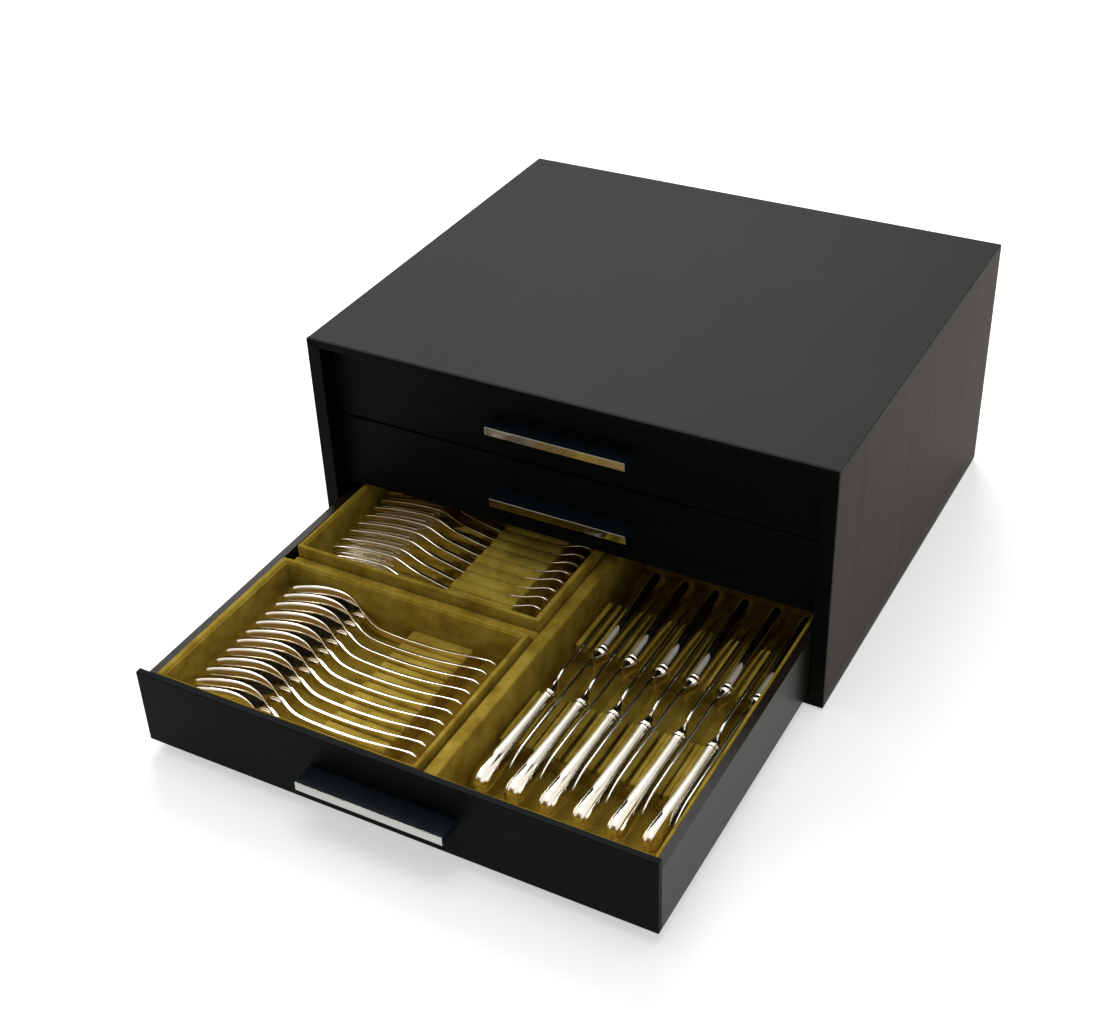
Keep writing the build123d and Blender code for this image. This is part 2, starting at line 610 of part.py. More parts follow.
def build_bottom_fittings(place):
    tray_floor = LINED_FLOOR + TRAY_FLOOR
    inside = (BOX_FRONT, INSIDE_BACK)
    right_pad = HALF_INSIDE - WALL_LINING
    save(
        "bottom_drawer_lining",
        place * floor_lining(),
        place * wall_pad((right_pad, HALF_INSIDE), inside),
        place * wall_pad((DIVIDER_RIGHT, right_pad), (BOX_FRONT, BOX_FRONT + END_LINING)),
        place * wall_pad((DIVIDER_RIGHT, right_pad), (INSIDE_BACK - END_LINING, INSIDE_BACK)),
    )
    upright = (LINED_FLOOR, DIVIDER_TOP)
    save("centre_divider", place * block((DIVIDER_LEFT, DIVIDER_RIGHT), inside, upright))
    save("cross_divider", place * block((FORK_TRAY_X[0], DIVIDER_LEFT), (CROSS_FRONT, CROSS_BACK), upright))

    spoon_tray = tray(SPOON_TRAY_X, SPOON_TRAY_Y, SPOON_RIM, **SPOON_WALLS)
    save("spoon_tray", *[place * board for board in spoon_tray])
    fork_tray = tray(FORK_TRAY_X, FORK_TRAY_Y, FORK_RIM, **FORK_WALLS)
    save("fork_tray", *[place * board for board in fork_tray])

    spoon_ys = rows(SPOON_FIRST_Y, -FLATWARE_PITCH, FLATWARE_COUNT)
    slots = [(y + SPOON_SLOT_SHIFT, SPOON_SLOT) for y in spoon_ys]
    across = between_walls(SPOON_TRAY_Y, SPOON_WALLS)
    spoon_rack = rack(SPOON_RACK_X, across, slots, (tray_floor, *SPOON_RACK_LEVELS), along_x=True)
    save("spoon_rack", *[place * piece for piece in spoon_rack])

    fork_ys = rows(FORK_FIRST_Y, -FLATWARE_PITCH, FLATWARE_COUNT)
    slots = [(y + FORK_SLOT_SHIFT, FORK_SLOT) for y in fork_ys]
    across = between_walls(FORK_TRAY_Y, FORK_WALLS)
    fork_rack = rack(FORK_RACK_X, across, slots, (tray_floor, *FORK_RACK_LEVELS), along_x=True)
    bed_top = FORK_AXIS_Z - FORK_HALF_WIDTH - FORK_BED_GAP
    fork_rack.append(block(FORK_BED_X, across, (tray_floor, bed_top)))
    save("fork_rack", *[place * piece for piece in fork_rack])

    spoon = table_spoon()
    save("table_spoons", *[place * Pos(SPOON_END_X, y, SPOON_AXIS_Z) * spoon for y in spoon_ys])
    fork = table_fork()
    save("table_forks", *[place * Pos(FORK_END_X, y, FORK_AXIS_Z) * fork for y in fork_ys])

    knife_xs = rows(KNIFE_FIRST_X, KNIFE_PITCH, KNIFE_PAIRS)
    counter_xs = rows(COUNTER_FIRST_X, COUNTER_PITCH, KNIFE_PAIRS)
    levels = (LINED_FLOOR, KNIFE_AXIS_Z + BLADE_EDGE - EDGE_GAP, KNIFE_RIB_TOP)
    for name, y, grips, blades in (
        ("front_knife_rack", FRONT_RACK_Y, knife_xs, counter_xs),
        ("rear_knife_rack", REAR_RACK_Y, counter_xs, knife_xs),
    ):
        slots = [(x, GRIP_SLOT) for x in grips] + [(x, BLADE_SLOT) for x in blades]
        pieces = rack(y, KNIFE_RACK_X, slots, levels, along_x=False)
        save(name, *[place * piece for piece in pieces])

    places = [Pos(x, KNIFE_FRONT_Y, KNIFE_AXIS_Z) for x in knife_xs]
    places += [Pos(x, KNIFE_BACK_Y, KNIFE_AXIS_Z) * Rot(0, 0, 180) for x in counter_xs]
    handle = knife_handle()
    blade = knife_blade()
    save("knife_handles", *[place * spot * handle for spot in places])
    save("knife_blades", *[place * spot * blade for spot in places])


# ------------------------------------------------------------------ upper drawers' fittings


UPPER_DIVIDER_HALF = 5.5
UPPER_DIVIDER_TOP = 48.0
UPPER_RACK_OFFSETS = (60.0, 140.0)   # from the drawer's middle to the middle of each rack
UPPER_RACK_HALF = 18.0
UPPER_RACK_LEVELS = (12.0, 24.0)
UPPER_SLOT = 3.8
UPPER_RACK_EDGE = 14.0   # from the rack's ends to its first and last slots


def build_upper_fittings(name, place, slot_pitch):
    """A lined drawer with one divider, and two slotted racks on each side of it."""
    half = HALF_INSIDE
    inside = (BOX_FRONT, INSIDE_BACK)
    pad_y = (BOX_FRONT + END_LINING, INSIDE_BACK - END_LINING)
    save(
        f"{name}_drawer_lining",
        place * floor_lining(),
        place * wall_pad((-half, WALL_LINING - half), inside),
        place * wall_pad((half - WALL_LINING, half), inside),
        place * wall_pad((WALL_LINING - half, half - WALL_LINING), (inside[0], pad_y[0])),
        place * wall_pad((WALL_LINING - half, half - WALL_LINING), (pad_y[1], inside[1])),
    )
    divider_x = (-UPPER_DIVIDER_HALF, UPPER_DIVIDER_HALF)
    save(f"{name}_drawer_divider", place * block(divider_x, pad_y, (LINED_FLOOR, UPPER_DIVIDER_TOP)))
    count = int((pad_y[1] - pad_y[0] - 2 * UPPER_RACK_EDGE) / slot_pitch) + 1
    slots = [(y, UPPER_SLOT) for y in rows(pad_y[0] + UPPER_RACK_EDGE, slot_pitch, count)]
    pieces = []
    for side in (-1, 1):
        for offset in UPPER_RACK_OFFSETS:
            x = (side * offset - UPPER_RACK_HALF, side * offset + UPPER_RACK_HALF)
            pieces += rack(x, pad_y, slots, (LINED_FLOOR, *UPPER_RACK_LEVELS), along_x=True)
    save(f"{name}_drawer_racks", *[place * piece for piece in pieces])


build_carcass()
for drawer, base in DRAWER_BASES.items():
    face_y = OPEN_FACE if drawer == "bottom" else SHUT_FACE
    build_drawer_box(drawer, Pos(0, face_y, base))
build_bottom_fittings(Pos(0, OPEN_FACE, DRAWER_BASES["bottom"]))
build_upper_fittings("middle", Pos(0, SHUT_FACE, DRAWER_BASES["middle"]), slot_pitch=20.0)
build_upper_fittings("top", Pos(0, SHUT_FACE, DRAWER_BASES["top"]), slot_pitch=16.0)
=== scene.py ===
import math

import bmesh
import bpy
import numpy as np
from mathutils import Matrix, Vector, noise


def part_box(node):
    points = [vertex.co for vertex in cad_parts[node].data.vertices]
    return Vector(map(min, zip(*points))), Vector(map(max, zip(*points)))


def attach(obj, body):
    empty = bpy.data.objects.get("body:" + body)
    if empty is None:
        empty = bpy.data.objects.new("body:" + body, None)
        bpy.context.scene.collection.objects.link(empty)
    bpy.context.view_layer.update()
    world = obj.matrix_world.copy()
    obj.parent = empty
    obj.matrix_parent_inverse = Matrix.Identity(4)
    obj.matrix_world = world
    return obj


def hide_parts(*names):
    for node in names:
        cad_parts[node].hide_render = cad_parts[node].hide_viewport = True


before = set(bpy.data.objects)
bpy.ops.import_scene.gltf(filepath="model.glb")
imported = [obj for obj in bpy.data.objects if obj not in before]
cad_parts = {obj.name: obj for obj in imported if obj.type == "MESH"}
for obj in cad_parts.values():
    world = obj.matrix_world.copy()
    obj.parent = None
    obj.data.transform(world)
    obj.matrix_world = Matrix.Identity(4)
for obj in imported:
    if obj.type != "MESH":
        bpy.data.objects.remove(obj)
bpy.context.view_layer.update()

# The looks of a lacquered silverware chest: satin lacquer and stained veneer outside, mustard velvet and
# silver-plated cutlery in the drawers. Metres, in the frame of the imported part.

MM = 0.001

# ---- small tools


def linear(text):
    """An sRGB hex colour as linear RGBA."""
    parts = [int(text[i : i + 2], 16) / 255 for i in (1, 3, 5)]
    return [c / 12.92 if c <= 0.04045 else ((c + 0.055) / 1.055) ** 2.4 for c in parts] + [1.0]


def add(tree, kind, inputs=None, **settings):
    """Adds one node. settings are its properties; inputs are values, or sockets to link from."""
    item = tree.nodes.new(kind)
    for key, value in settings.items():
        setattr(item, key, value)
    for key, value in (inputs or {}).items():
        if isinstance(value, bpy.types.NodeSocket):
            tree.links.new(value, item.inputs[key])
        else:
            item.inputs[key].default_value = value
    return item


def make_piece(name, verts, faces):
    """A smooth-shaded mesh object from vertices in metres."""
    mesh = bpy.data.meshes.new(name)
    mesh.from_pydata([tuple(float(c) for c in v) for v in verts], [], faces)
    mesh.update()
    mesh.shade_smooth()
    piece = bpy.data.objects.new(name, mesh)
    bpy.context.scene.collection.objects.link(piece)
    return piece


def settle(piece):
    """Turns a piece with modifiers into a plain mesh."""
    graph = bpy.context.evaluated_depsgraph_get()
    mesh = bpy.data.meshes.new_from_object(piece.evaluated_get(graph))
    piece.modifiers.clear()
    piece.data = mesh
    return piece


def finish_piece(piece, body, slot, material, *nodes):
    """Gives a piece its material, hangs it on the body it rides on, and hides the nodes it stands for."""
    piece.data.materials.clear()
    piece.data.materials.append(material)
    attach(piece, body)
    if nodes:
        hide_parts(*nodes)
    return piece


class Shell:
    """Vertices and faces of several closed forms that make one piece."""

    def __init__(self):
        self.verts = []
        self.faces = []

    def take(self, verts, faces):
        base = len(self.verts)
        self.verts += [tuple(v) for v in verts]
        self.faces += [tuple(base + i for i in face) for face in faces]

    def piece(self, name):
        return make_piece(name, self.verts, self.faces)


def ticks(length, radius, step):
    """Grid lines along one side of a rounded box: close together at its two edges."""
    near = [0.0, 0.12 * radius, 0.4 * radius, radius]
    inner = length - 2 * radius
    count = max(1, round(inner / step))
    middle = [radius + inner * i / count for i in range(1, count)]
    return near + middle + [length - t for t in reversed(near)]


def rounded_box(low, high, radius, step=12.0, wave=0.0, seed=0.0):
    """Vertices and faces of a box with rounded edges, in millimetres in and metres out.

    wave is how far cloth on it rises and falls, over about three centimetres.
    """
    low = Vector(low)
    high = Vector(high)
    size = high - low
    radius = min(radius, 0.499 * min(size))
    lines = [ticks(size[axis], radius, step) for axis in range(3)]
    last = [len(line) - 1 for line in lines]
    index = {}
    verts = []

    def corner(i, j, k):
        if (i, j, k) not in index:
            flat = Vector((lines[0][i], lines[1][j], lines[2][k]))
            core = Vector([min(max(flat[a], radius), size[a] - radius) for a in range(3)])
            away = (flat - core).normalized()
            point = low + core + away * radius
            if wave:
                point += away * wave * noise.noise(point / 30 + Vector((seed, seed, seed)))
            index[i, j, k] = len(verts)
            verts.append(point * MM)
        return index[i, j, k]

    faces = []
    for axis in range(3):
        b, c = (axis + 1) % 3, (axis + 2) % 3
        for side in (0, last[axis]):
            for p in range(last[b]):
                for q in range(last[c]):
                    loop = []
                    for dp, dq in ((0, 0), (1, 0), (1, 1), (0, 1)):
                        place = [0, 0, 0]
                        place[axis] = side
                        place[b] = p + dp
                        place[c] = q + dq
                        loop.append(corner(*place))
                    faces.append(loop if side else loop[::-1])
    return verts, faces


def drawer_frame(name):
    """The drawer's own origin, in millimetres: its middle, its front face and its lower edge."""
    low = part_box(f"{name}_drawer_face")[0]
    return Vector((0, low.y, low.z)) / MM


# ---- materials

# Pattern sizes in millimetres; two numbers are along and across the grain. The lacquer's orange peel, the
# velvet's pile and the polishing marks are finer than this on a real chest, and are drawn coarse to show.
CLOUD_SIZE = 90
PEEL_SIZE = 1.2
PORE_SIZE = (60, 1.1)
BAND_SIZE = (400, 14)
RUBBED_SIZE = 22
PILE_SIZE = 0.9
DULLED_SIZE = 16
HAIRLINE_SIZE = (17, 1.1)
BRUSH_SIZE = (25, 0.7)
BOARD_GRAIN_SIZE = (120, 4)

# Plain black for the side panels' faces that lie nearer the chest's middle than the outer faces.
INNER_FACE_BLACK = "#0A0A0A"
SATIN_ROUGHNESS = 0.5
OUTER_FACE = 0.2225      # the side panels' outer faces lie beyond this, in metres from the chest's middle


def blank_material(name):
    material = bpy.data.materials.new(name)
    material.use_nodes = True
    tree = material.node_tree
    tree.nodes.clear()
    shader = add(tree, "ShaderNodeBsdfPrincipled")
    add(tree, "ShaderNodeOutputMaterial", {"Surface": shader.outputs[0]})
    return material, tree, shader


def object_place(tree, scale=(1, 1, 1)):
    """Object coordinates, stretched: the number on each axis is how many pattern cells a metre holds."""
    place = add(tree, "ShaderNodeTexCoord")
    return add(tree, "ShaderNodeMapping", {"Vector": place.outputs["Object"], "Scale": scale}).outputs[0]


def cells(millimetres):
    """How many pattern cells of this size a metre holds."""
    return 1000 / millimetres


def along_grain(tree, along, size):
    """Object coordinates for a pattern whose cells are longer along one axis."""
    scale = [cells(size[1])] * 3
    scale["xyz".index(along)] = cells(size[0])
    return object_place(tree, scale)


def lacquer(name, dark, light, roughness, gloss):
    """Sprayed and rubbed lacquer: an even satin colour, a faint cloudiness and a fine orange peel."""
    material, tree, shader = blank_material(name)
    place = object_place(tree)
    cloud = add(tree, "ShaderNodeTexNoise", {"Vector": place, "Scale": cells(CLOUD_SIZE), "Detail": 3.0})
    pair = {0: cloud.outputs["Fac"], 6: linear(dark), 7: linear(light)}
    colour = add(tree, "ShaderNodeMix", pair, data_type="RGBA")
    tree.links.new(colour.outputs[2], shader.inputs["Base Color"])
    peel = add(tree, "ShaderNodeTexNoise", {"Vector": place, "Scale": cells(PEEL_SIZE), "Detail": 2.0})
    relief = {"Height": peel.outputs["Fac"], "Strength": 0.04, "Distance": 0.2 * MM}
    bump = add(tree, "ShaderNodeBump", relief)
    tree.links.new(bump.outputs[0], shader.inputs["Normal"])
    rub = add(tree, "ShaderNodeMapRange", {0: cloud.outputs["Fac"], 3: roughness - 0.04, 4: roughness + 0.05})
    tree.links.new(rub.outputs[0], shader.inputs["Roughness"])
    shader.inputs["Specular IOR Level"].default_value = gloss
    return material


def veneer(name, dark, light, along, roughness, gloss, outer=None):
    """Black-stained open-pored veneer: long fine pores along the grain, seen as faint lighter streaks.

    Where outer is given, faces nearer the chest's middle than that are plain black.
    """
    material, tree, shader = blank_material(name)
    fine = {"Vector": along_grain(tree, along, PORE_SIZE), "Scale": 1.0, "Detail": 4.0, "Roughness": 0.6}
    pores = add(tree, "ShaderNodeTexNoise", fine).outputs["Fac"]
    broad = {"Vector": along_grain(tree, along, BAND_SIZE), "Scale": 1.0}
    bands = add(tree, "ShaderNodeTexNoise", broad).outputs["Fac"]
    both = add(tree, "ShaderNodeMath", {0: pores, 1: bands}, operation="MULTIPLY")
    factor = add(tree, "ShaderNodeMapRange", {0: both.outputs[0], 1: 0.12, 2: 0.42})
    pair = {0: factor.outputs[0], 6: linear(dark), 7: linear(light)}
    colour = add(tree, "ShaderNodeMix", pair, data_type="RGBA").outputs[2]
    if outer:
        place = add(tree, "ShaderNodeTexCoord").outputs["Object"]
        across = add(tree, "ShaderNodeSeparateXYZ", {0: place}).outputs[0]
        apart = add(tree, "ShaderNodeMath", {0: across}, operation="ABSOLUTE").outputs[0]
        outside = add(tree, "ShaderNodeMath", {0: apart, 1: outer}, operation="GREATER_THAN").outputs[0]
        pair = {0: outside, 6: linear(INNER_FACE_BLACK), 7: colour}
        colour = add(tree, "ShaderNodeMix", pair, data_type="RGBA").outputs[2]
    tree.links.new(colour, shader.inputs["Base Color"])
    bump = add(tree, "ShaderNodeBump", {"Height": pores, "Strength": 0.25, "Distance": 0.3 * MM})
    tree.links.new(bump.outputs[0], shader.inputs["Normal"])
    shader.inputs["Roughness"].default_value = roughness
    shader.inputs["Specular IOR Level"].default_value = gloss
    return material


def velvet(name, deep, middle, bright, sheen):
    """Cotton velvet glued over card: a short pile that shows rubbed patches and a soft pale sheen."""
    material, tree, shader = blank_material(name)
    place = object_place(tree)
    rubbed = {"Vector": place, "Scale": cells(RUBBED_SIZE), "Detail": 5.0, "Roughness": 0.62}
    patches = add(tree, "ShaderNodeTexNoise", rubbed)
    pile = add(tree, "ShaderNodeTexNoise", {"Vector": place, "Scale": cells(PILE_SIZE), "Detail": 3.0})
    ramp = add(tree, "ShaderNodeValToRGB", {"Fac": patches.outputs["Fac"]})
    ramp.color_ramp.elements[0].position = 0.32
    ramp.color_ramp.elements[0].color = linear(deep)
    ramp.color_ramp.elements[1].position = 0.7
    ramp.color_ramp.elements[1].color = linear(bright)
    ramp.color_ramp.elements.new(0.5).color = linear(middle)
    speck = add(tree, "ShaderNodeMapRange", {0: pile.outputs["Fac"], 1: 0.25, 2: 0.75, 3: 0.8, 4: 1.16})
    tint = add(tree, "ShaderNodeVectorMath", {0: ramp.outputs["Color"]}, operation="SCALE")
    tree.links.new(speck.outputs[0], tint.inputs["Scale"])
    tree.links.new(tint.outputs[0], shader.inputs["Base Color"])
    relief = {"Height": pile.outputs["Fac"], "Strength": 0.6, "Distance": 0.5 * MM}
    bump = add(tree, "ShaderNodeBump", relief)
    tree.links.new(bump.outputs[0], shader.inputs["Normal"])
    shader.inputs["Roughness"].default_value = 0.95
    shader.inputs["Sheen Weight"].default_value = 0.2
    shader.inputs["Sheen Roughness"].default_value = 0.4
    shader.inputs["Sheen Tint"].default_value = linear(sheen)
    shader.inputs["Specular IOR Level"].default_value = 0.1
    return material


def silver(name, warm, pale, roughness, worn):
    """Polished silver plate: warm white, with hairline polishing marks and a few duller patches.

    Where a piece's satin attribute is 1 the plate is left satin, and looks evenly pale: on the knife handles
    this is a painted highlight.
    """
    material, tree, shader = blank_material(name)
    shader.inputs["Metallic"].default_value = 1.0
    dulled = {"Vector": object_place(tree), "Scale": cells(DULLED_SIZE), "Detail": 4.0}
    patches = add(tree, "ShaderNodeTexNoise", dulled)
    dull = add(tree, "ShaderNodeMapRange", {0: patches.outputs["Fac"], 1: 0.4, 2: 0.8, 3: roughness, 4: worn})
    satin = add(tree, "ShaderNodeAttribute", attribute_name="satin").outputs["Fac"]
    rough = add(tree, "ShaderNodeMix", {0: satin, 2: dull.outputs[0], 3: SATIN_ROUGHNESS}, data_type="FLOAT")
    tree.links.new(rough.outputs[0], shader.inputs["Roughness"])
    pair = {0: patches.outputs["Fac"], 6: linear(warm), 7: linear(pale)}
    colour = add(tree, "ShaderNodeMix", pair, data_type="RGBA")
    tree.links.new(colour.outputs[2], shader.inputs["Base Color"])
    hairlines = along_grain(tree, "x", HAIRLINE_SIZE)
    marks = add(tree, "ShaderNodeTexNoise", {"Vector": hairlines, "Scale": 1.0})
    relief = {"Height": marks.outputs["Fac"], "Strength": 0.03, "Distance": 0.1 * MM}
    bump = add(tree, "ShaderNodeBump", relief)
    tree.links.new(bump.outputs[0], shader.inputs["Normal"])
    return material


def brushed(name, dark, light, roughness, along):
    """Metal with fine straight brushing along its length."""
    material, tree, shader = blank_material(name)
    shader.inputs["Metallic"].default_value = 1.0
    place = along_grain(tree, along, BRUSH_SIZE)
    lines = add(tree, "ShaderNodeTexNoise", {"Vector": place, "Scale": 1.0, "Detail": 2.0}).outputs["Fac"]
    rough = add(tree, "ShaderNodeMapRange", {0: lines, 3: roughness * 0.7, 4: roughness * 1.4})
    tree.links.new(rough.outputs[0], shader.inputs["Roughness"])
    colour = add(tree, "ShaderNodeMix", {0: lines, 6: linear(dark), 7: linear(light)}, data_type="RGBA")
    tree.links.new(colour.outputs[2], shader.inputs["Base Color"])
    bump = add(tree, "ShaderNodeBump", {"Height": lines, "Strength": 0.06, "Distance": 0.1 * MM})
    tree.links.new(bump.outputs[0], shader.inputs["Normal"])
    return material


def plain_board(name, dark, light):
    """Stained plywood and solid wood that hardly shows: matt, with a broad soft grain."""
    material, tree, shader = blank_material(name)
    place = along_grain(tree, "y", BOARD_GRAIN_SIZE)
    grain = add(tree, "ShaderNodeTexNoise", {"Vector": place, "Scale": 1.0, "Detail": 4.0})
    pair = {0: grain.outputs["Fac"], 6: linear(dark), 7: linear(light)}
    colour = add(tree, "ShaderNodeMix", pair, data_type="RGBA")
    tree.links.new(colour.outputs[2], shader.inputs["Base Color"])
    shader.inputs["Roughness"].default_value = 0.7
    return material


MATERIALS = {
    # Satin black lacquer over the top, coloured an even dark grey that is partly painted light from above,
    # lighter than the fronts' black. It takes a broad soft light.
    "top": lacquer("satin_black_lacquer_painted_lit_grey", "#1E1F1D", "#242523", 0.5, 0.06),
    # Black lacquer on veneer: nearly black, with the grain only just seen across the fronts.
    "front": veneer("black_lacquered_veneer_lying", "#06080A", "#0C0F12", "x", 0.5, 0.04),
    # Black edging round the opening: even and a little softer than the fronts, so its corners stay dark.
    "lipping": lacquer("black_lacquer_edging", "#08090B", "#0D0F11", 0.45, 0.03),
    # Stained veneer on the sides: brownish black, with faint upright streaks, its base lightened as a painted
    # sheen, with little gloss of its own. Its inner faces are plain black.
    "side": veneer("black_stained_veneer_upright_painted_sheen", "#433C34", "#4D463D", "z", 0.5, 0.03, OUTER_FACE),
    # Stained drawer sides: darker than the chest's, with a dull shine along the grain.
    "drawer_side": veneer("black_stained_veneer_drawer", "#16130F", "#2A241C", "z", 0.36, 0.14),
    # Stained plywood behind and below: matt and nearly black.
    "board": plain_board("stained_plywood", "#151310", "#241F19"),
    # Painted ledge of the pulls: slate black, a little glossier than the fronts.
    "ledge": lacquer("black_painted_metal", "#0C1318", "#121A20", 0.4, 0.2),
    # Chromed strip of the pulls: a bright line that shows what lies before it, drawn out along the brushing.
    "strip": brushed("bright_chromed_strip", "#A6A6A4", "#D2D2D0", 0.08, "x"),
    # Zinc plate on the screws: dull pale grey.
    "screw": brushed("zinc_plated_screw", "#8C8C88", "#B4B4AE", 0.4, "x"),
    # Felt pads underneath: matt black.
    "felt": velvet("black_felt", "#0A0A0A", "#0E0E0E", "#131313", "#303030"),
    # Mustard velvet: olive gold where the light strokes the pile, brown in the folds.
    "velvet": velvet("mustard_velvet", "#8A6E22", "#A68C30", "#BAA244", "#D0B454"),
    # The same velvet over the racks' rolls, where it is stretched and stroked; its paler colours are painted
    # light and sheen on the raised rolls.
    "rack": velvet("mustard_velvet_ribs_painted_lit", "#9C8030", "#B89E3C", "#CAB250", "#DCC264"),
    # Polished silver plate: warm white lights and dark reflections with soft edges.
    "silver": silver("silver_plate", "#F2E6CE", "#FFFBF2", 0.1, 0.16),
    # Blade steel: cooler and greyer than the plate, ground along the blade.
    "blade": brushed("polished_blade_steel", "#B8B8B4", "#DCDCD8", 0.14, "y"),
}

# ---- nodes that show as they are

SHOWN = {
    "top": ["top_panel"],
    "lipping": ["front_lipping_top", "front_lipping_base", "front_lipping_left", "front_lipping_right"],
    "side": ["left_side_panel", "right_side_panel"],
    "board": ["base_panel", "back_panel", "left_runners", "right_runners", "drawer_stop_blocks"],
    "screw": ["back_panel_screws"],
    "felt": ["felt_pads"],
}
DRAWER_SHOWN = {
    "front": ["drawer_face"],
    "drawer_side": ["drawer_inner_front", "drawer_left_side", "drawer_right_side", "drawer_back"],
    "board": ["drawer_floor"],
    "ledge": ["pull_ledge"],
    "strip": ["pull_strip"],
    "screw": ["pull_screws"],
}


def dress_node(node, material):
    """Gives a CAD node its finish."""
    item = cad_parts[node]
    item.data.materials.clear()
    item.data.materials.append(material)


def dress_nodes():
    for finish, nodes in SHOWN.items():
        for node in nodes:
            dress_node(node, MATERIALS[finish])
    for drawer in ("top", "middle", "bottom"):
        for finish, nodes in DRAWER_SHOWN.items():
            for node in nodes:
                dress_node(f"{drawer}_{node}", MATERIALS[finish])


# ---- a row of like pieces


def row_tree():
    """Geometry Nodes: the piece's own mesh, repeated along a line with small random shifts and turns."""
    tree = bpy.data.node_groups.new("row of like pieces", "GeometryNodeTree")
    face = tree.interface
    face.new_socket("Piece", in_out="INPUT", socket_type="NodeSocketGeometry")
    face.new_socket("Count", in_out="INPUT", socket_type="NodeSocketInt")
    for name in ("First place", "Step", "Least shift", "Most shift", "Least turn", "Most turn"):
        face.new_socket(name, in_out="INPUT", socket_type="NodeSocketVector")
    face.new_socket("Seed", in_out="INPUT", socket_type="NodeSocketInt")
    face.new_socket("Finish", in_out="INPUT", socket_type="NodeSocketMaterial")
    face.new_socket("Row", in_out="OUTPUT", socket_type="NodeSocketGeometry")
    given = add(tree, "NodeGroupInput").outputs
    line = add(
        tree,
        "GeometryNodeMeshLine",
        {"Count": given["Count"], "Start Location": given["First place"], "Offset": given["Step"]},
        mode="OFFSET",
    )
    shift = add(
        tree,
        "FunctionNodeRandomValue",
        {0: given["Least shift"], 1: given["Most shift"], "Seed": given["Seed"]},
        data_type="FLOAT_VECTOR",
    )
    # Turns draw from another seed, so that they don't follow the shifts.
    seed = add(tree, "ShaderNodeMath", {0: given["Seed"], 1: 17.0}, operation="ADD")
    turn = add(
        tree,
        "FunctionNodeRandomValue",
        {0: given["Least turn"], 1: given["Most turn"], "Seed": seed.outputs[0]},
        data_type="FLOAT_VECTOR",
    )
    moved = add(tree, "GeometryNodeSetPosition", {"Geometry": line.outputs[0], "Offset": shift.outputs[0]})
    copies = add(
        tree,
        "GeometryNodeInstanceOnPoints",
        {"Points": moved.outputs[0], "Instance": given["Piece"], "Rotation": turn.outputs[0]},
    )
    real = add(tree, "GeometryNodeRealizeInstances", {"Geometry": copies.outputs[0]})
    painted = add(tree, "GeometryNodeSetMaterial", {"Geometry": real.outputs[0], "Material": given["Finish"]})
    add(tree, "NodeGroupOutput", {"Row": painted.outputs[0]})
    return tree


ROW = row_tree()


def lay_row(piece, count, first, step, material, shift=(0, 0, 0), turn=(0, 0, 0), seed=1):
    """Repeats a piece count times from first, in millimetres, with random shifts and turns (degrees)."""
    modifier = piece.modifiers.new("row", "NODES")
    modifier.node_group = ROW
    values = {
        "Count": count,
        "First place": Vector(first) * MM,
        "Step": Vector(step) * MM,
        "Least shift": -Vector(shift) * MM,
        "Most shift": Vector(shift) * MM,
        "Least turn": -Vector(turn) * math.pi / 180,
        "Most turn": Vector(turn) * math.pi / 180,
        "Seed": seed,
        "Finish": material,
    }
    for socket in ROW.interface.items_tree:
        if socket.in_out == "INPUT" and socket.name in values:
            modifier[socket.identifier] = values[socket.name]
    return settle(piece)


# ---- cutlery


def hermite(points, xs):
    """A smooth line through (x, value, slope) points, read at xs."""
    points = np.array(points, float)
    place = np.clip(np.searchsorted(points[:, 0], xs) - 1, 0, len(points) - 2)
    a, b = points[place], points[place + 1]
    gap = b[:, 0] - a[:, 0]
    t = np.clip((xs - a[:, 0]) / gap, 0, 1)
    return (
        (2 * t**3 - 3 * t**2 + 1) * a[:, 1]
        + (t**3 - 2 * t**2 + t) * gap * a[:, 2]
        + (-2 * t**3 + 3 * t**2) * b[:, 1]
        + (t**3 - t**2) * gap * b[:, 2]
    )


def plate_piece(name, xs, columns, half_width, bend, thickness, skip=None, shape=None):
    """A piece of flatware on its edge: x along it, z across it, and y its bend.

    columns are places across it from -1 to 1, half_width its half widths at xs, bend(x, v) its middle
    surface, and thickness its gauge at xs. skip(i, j) leaves a cell out; shape(i, v) moves a column.
    """
    verts = []
    for i, x in enumerate(xs):
        for v in columns:
            across = shape(i, v) if shape else v
            verts.append((x * MM, bend(i, across) * MM, across * half_width[i] * MM))
    wide = len(columns)
    faces = []
    for i in range(len(xs) - 1):
        for j in range(wide - 1):
            if skip and skip(i, j):
                continue
            a = i * wide + j
            faces.append((a, a + wide, a + wide + 1, a + 1))
    piece = make_piece(name, verts, faces)
    thickest = max(thickness)
    group = piece.vertex_groups.new(name="gauge")
    for i in range(len(xs)):
        members = [i * wide + j for j in range(wide)]
        group.add(members, thickness[i] / thickest, "REPLACE")
    solid = piece.modifiers.new("gauge", "SOLIDIFY")
    solid.thickness = thickest * MM
    solid.offset = 0
    solid.vertex_group = "gauge"
    smooth = piece.modifiers.new("smooth", "SUBSURF")
    smooth.levels = smooth.render_levels = 1
    settle(piece)
    piece.data.shade_smooth()
    return piece


def crowded(low, high, count):
    """Places from low to high that stand closer together at both ends."""
    turn = np.linspace(0, math.pi, count)
    return low + (high - low) * (1 - np.cos(turn)) / 2


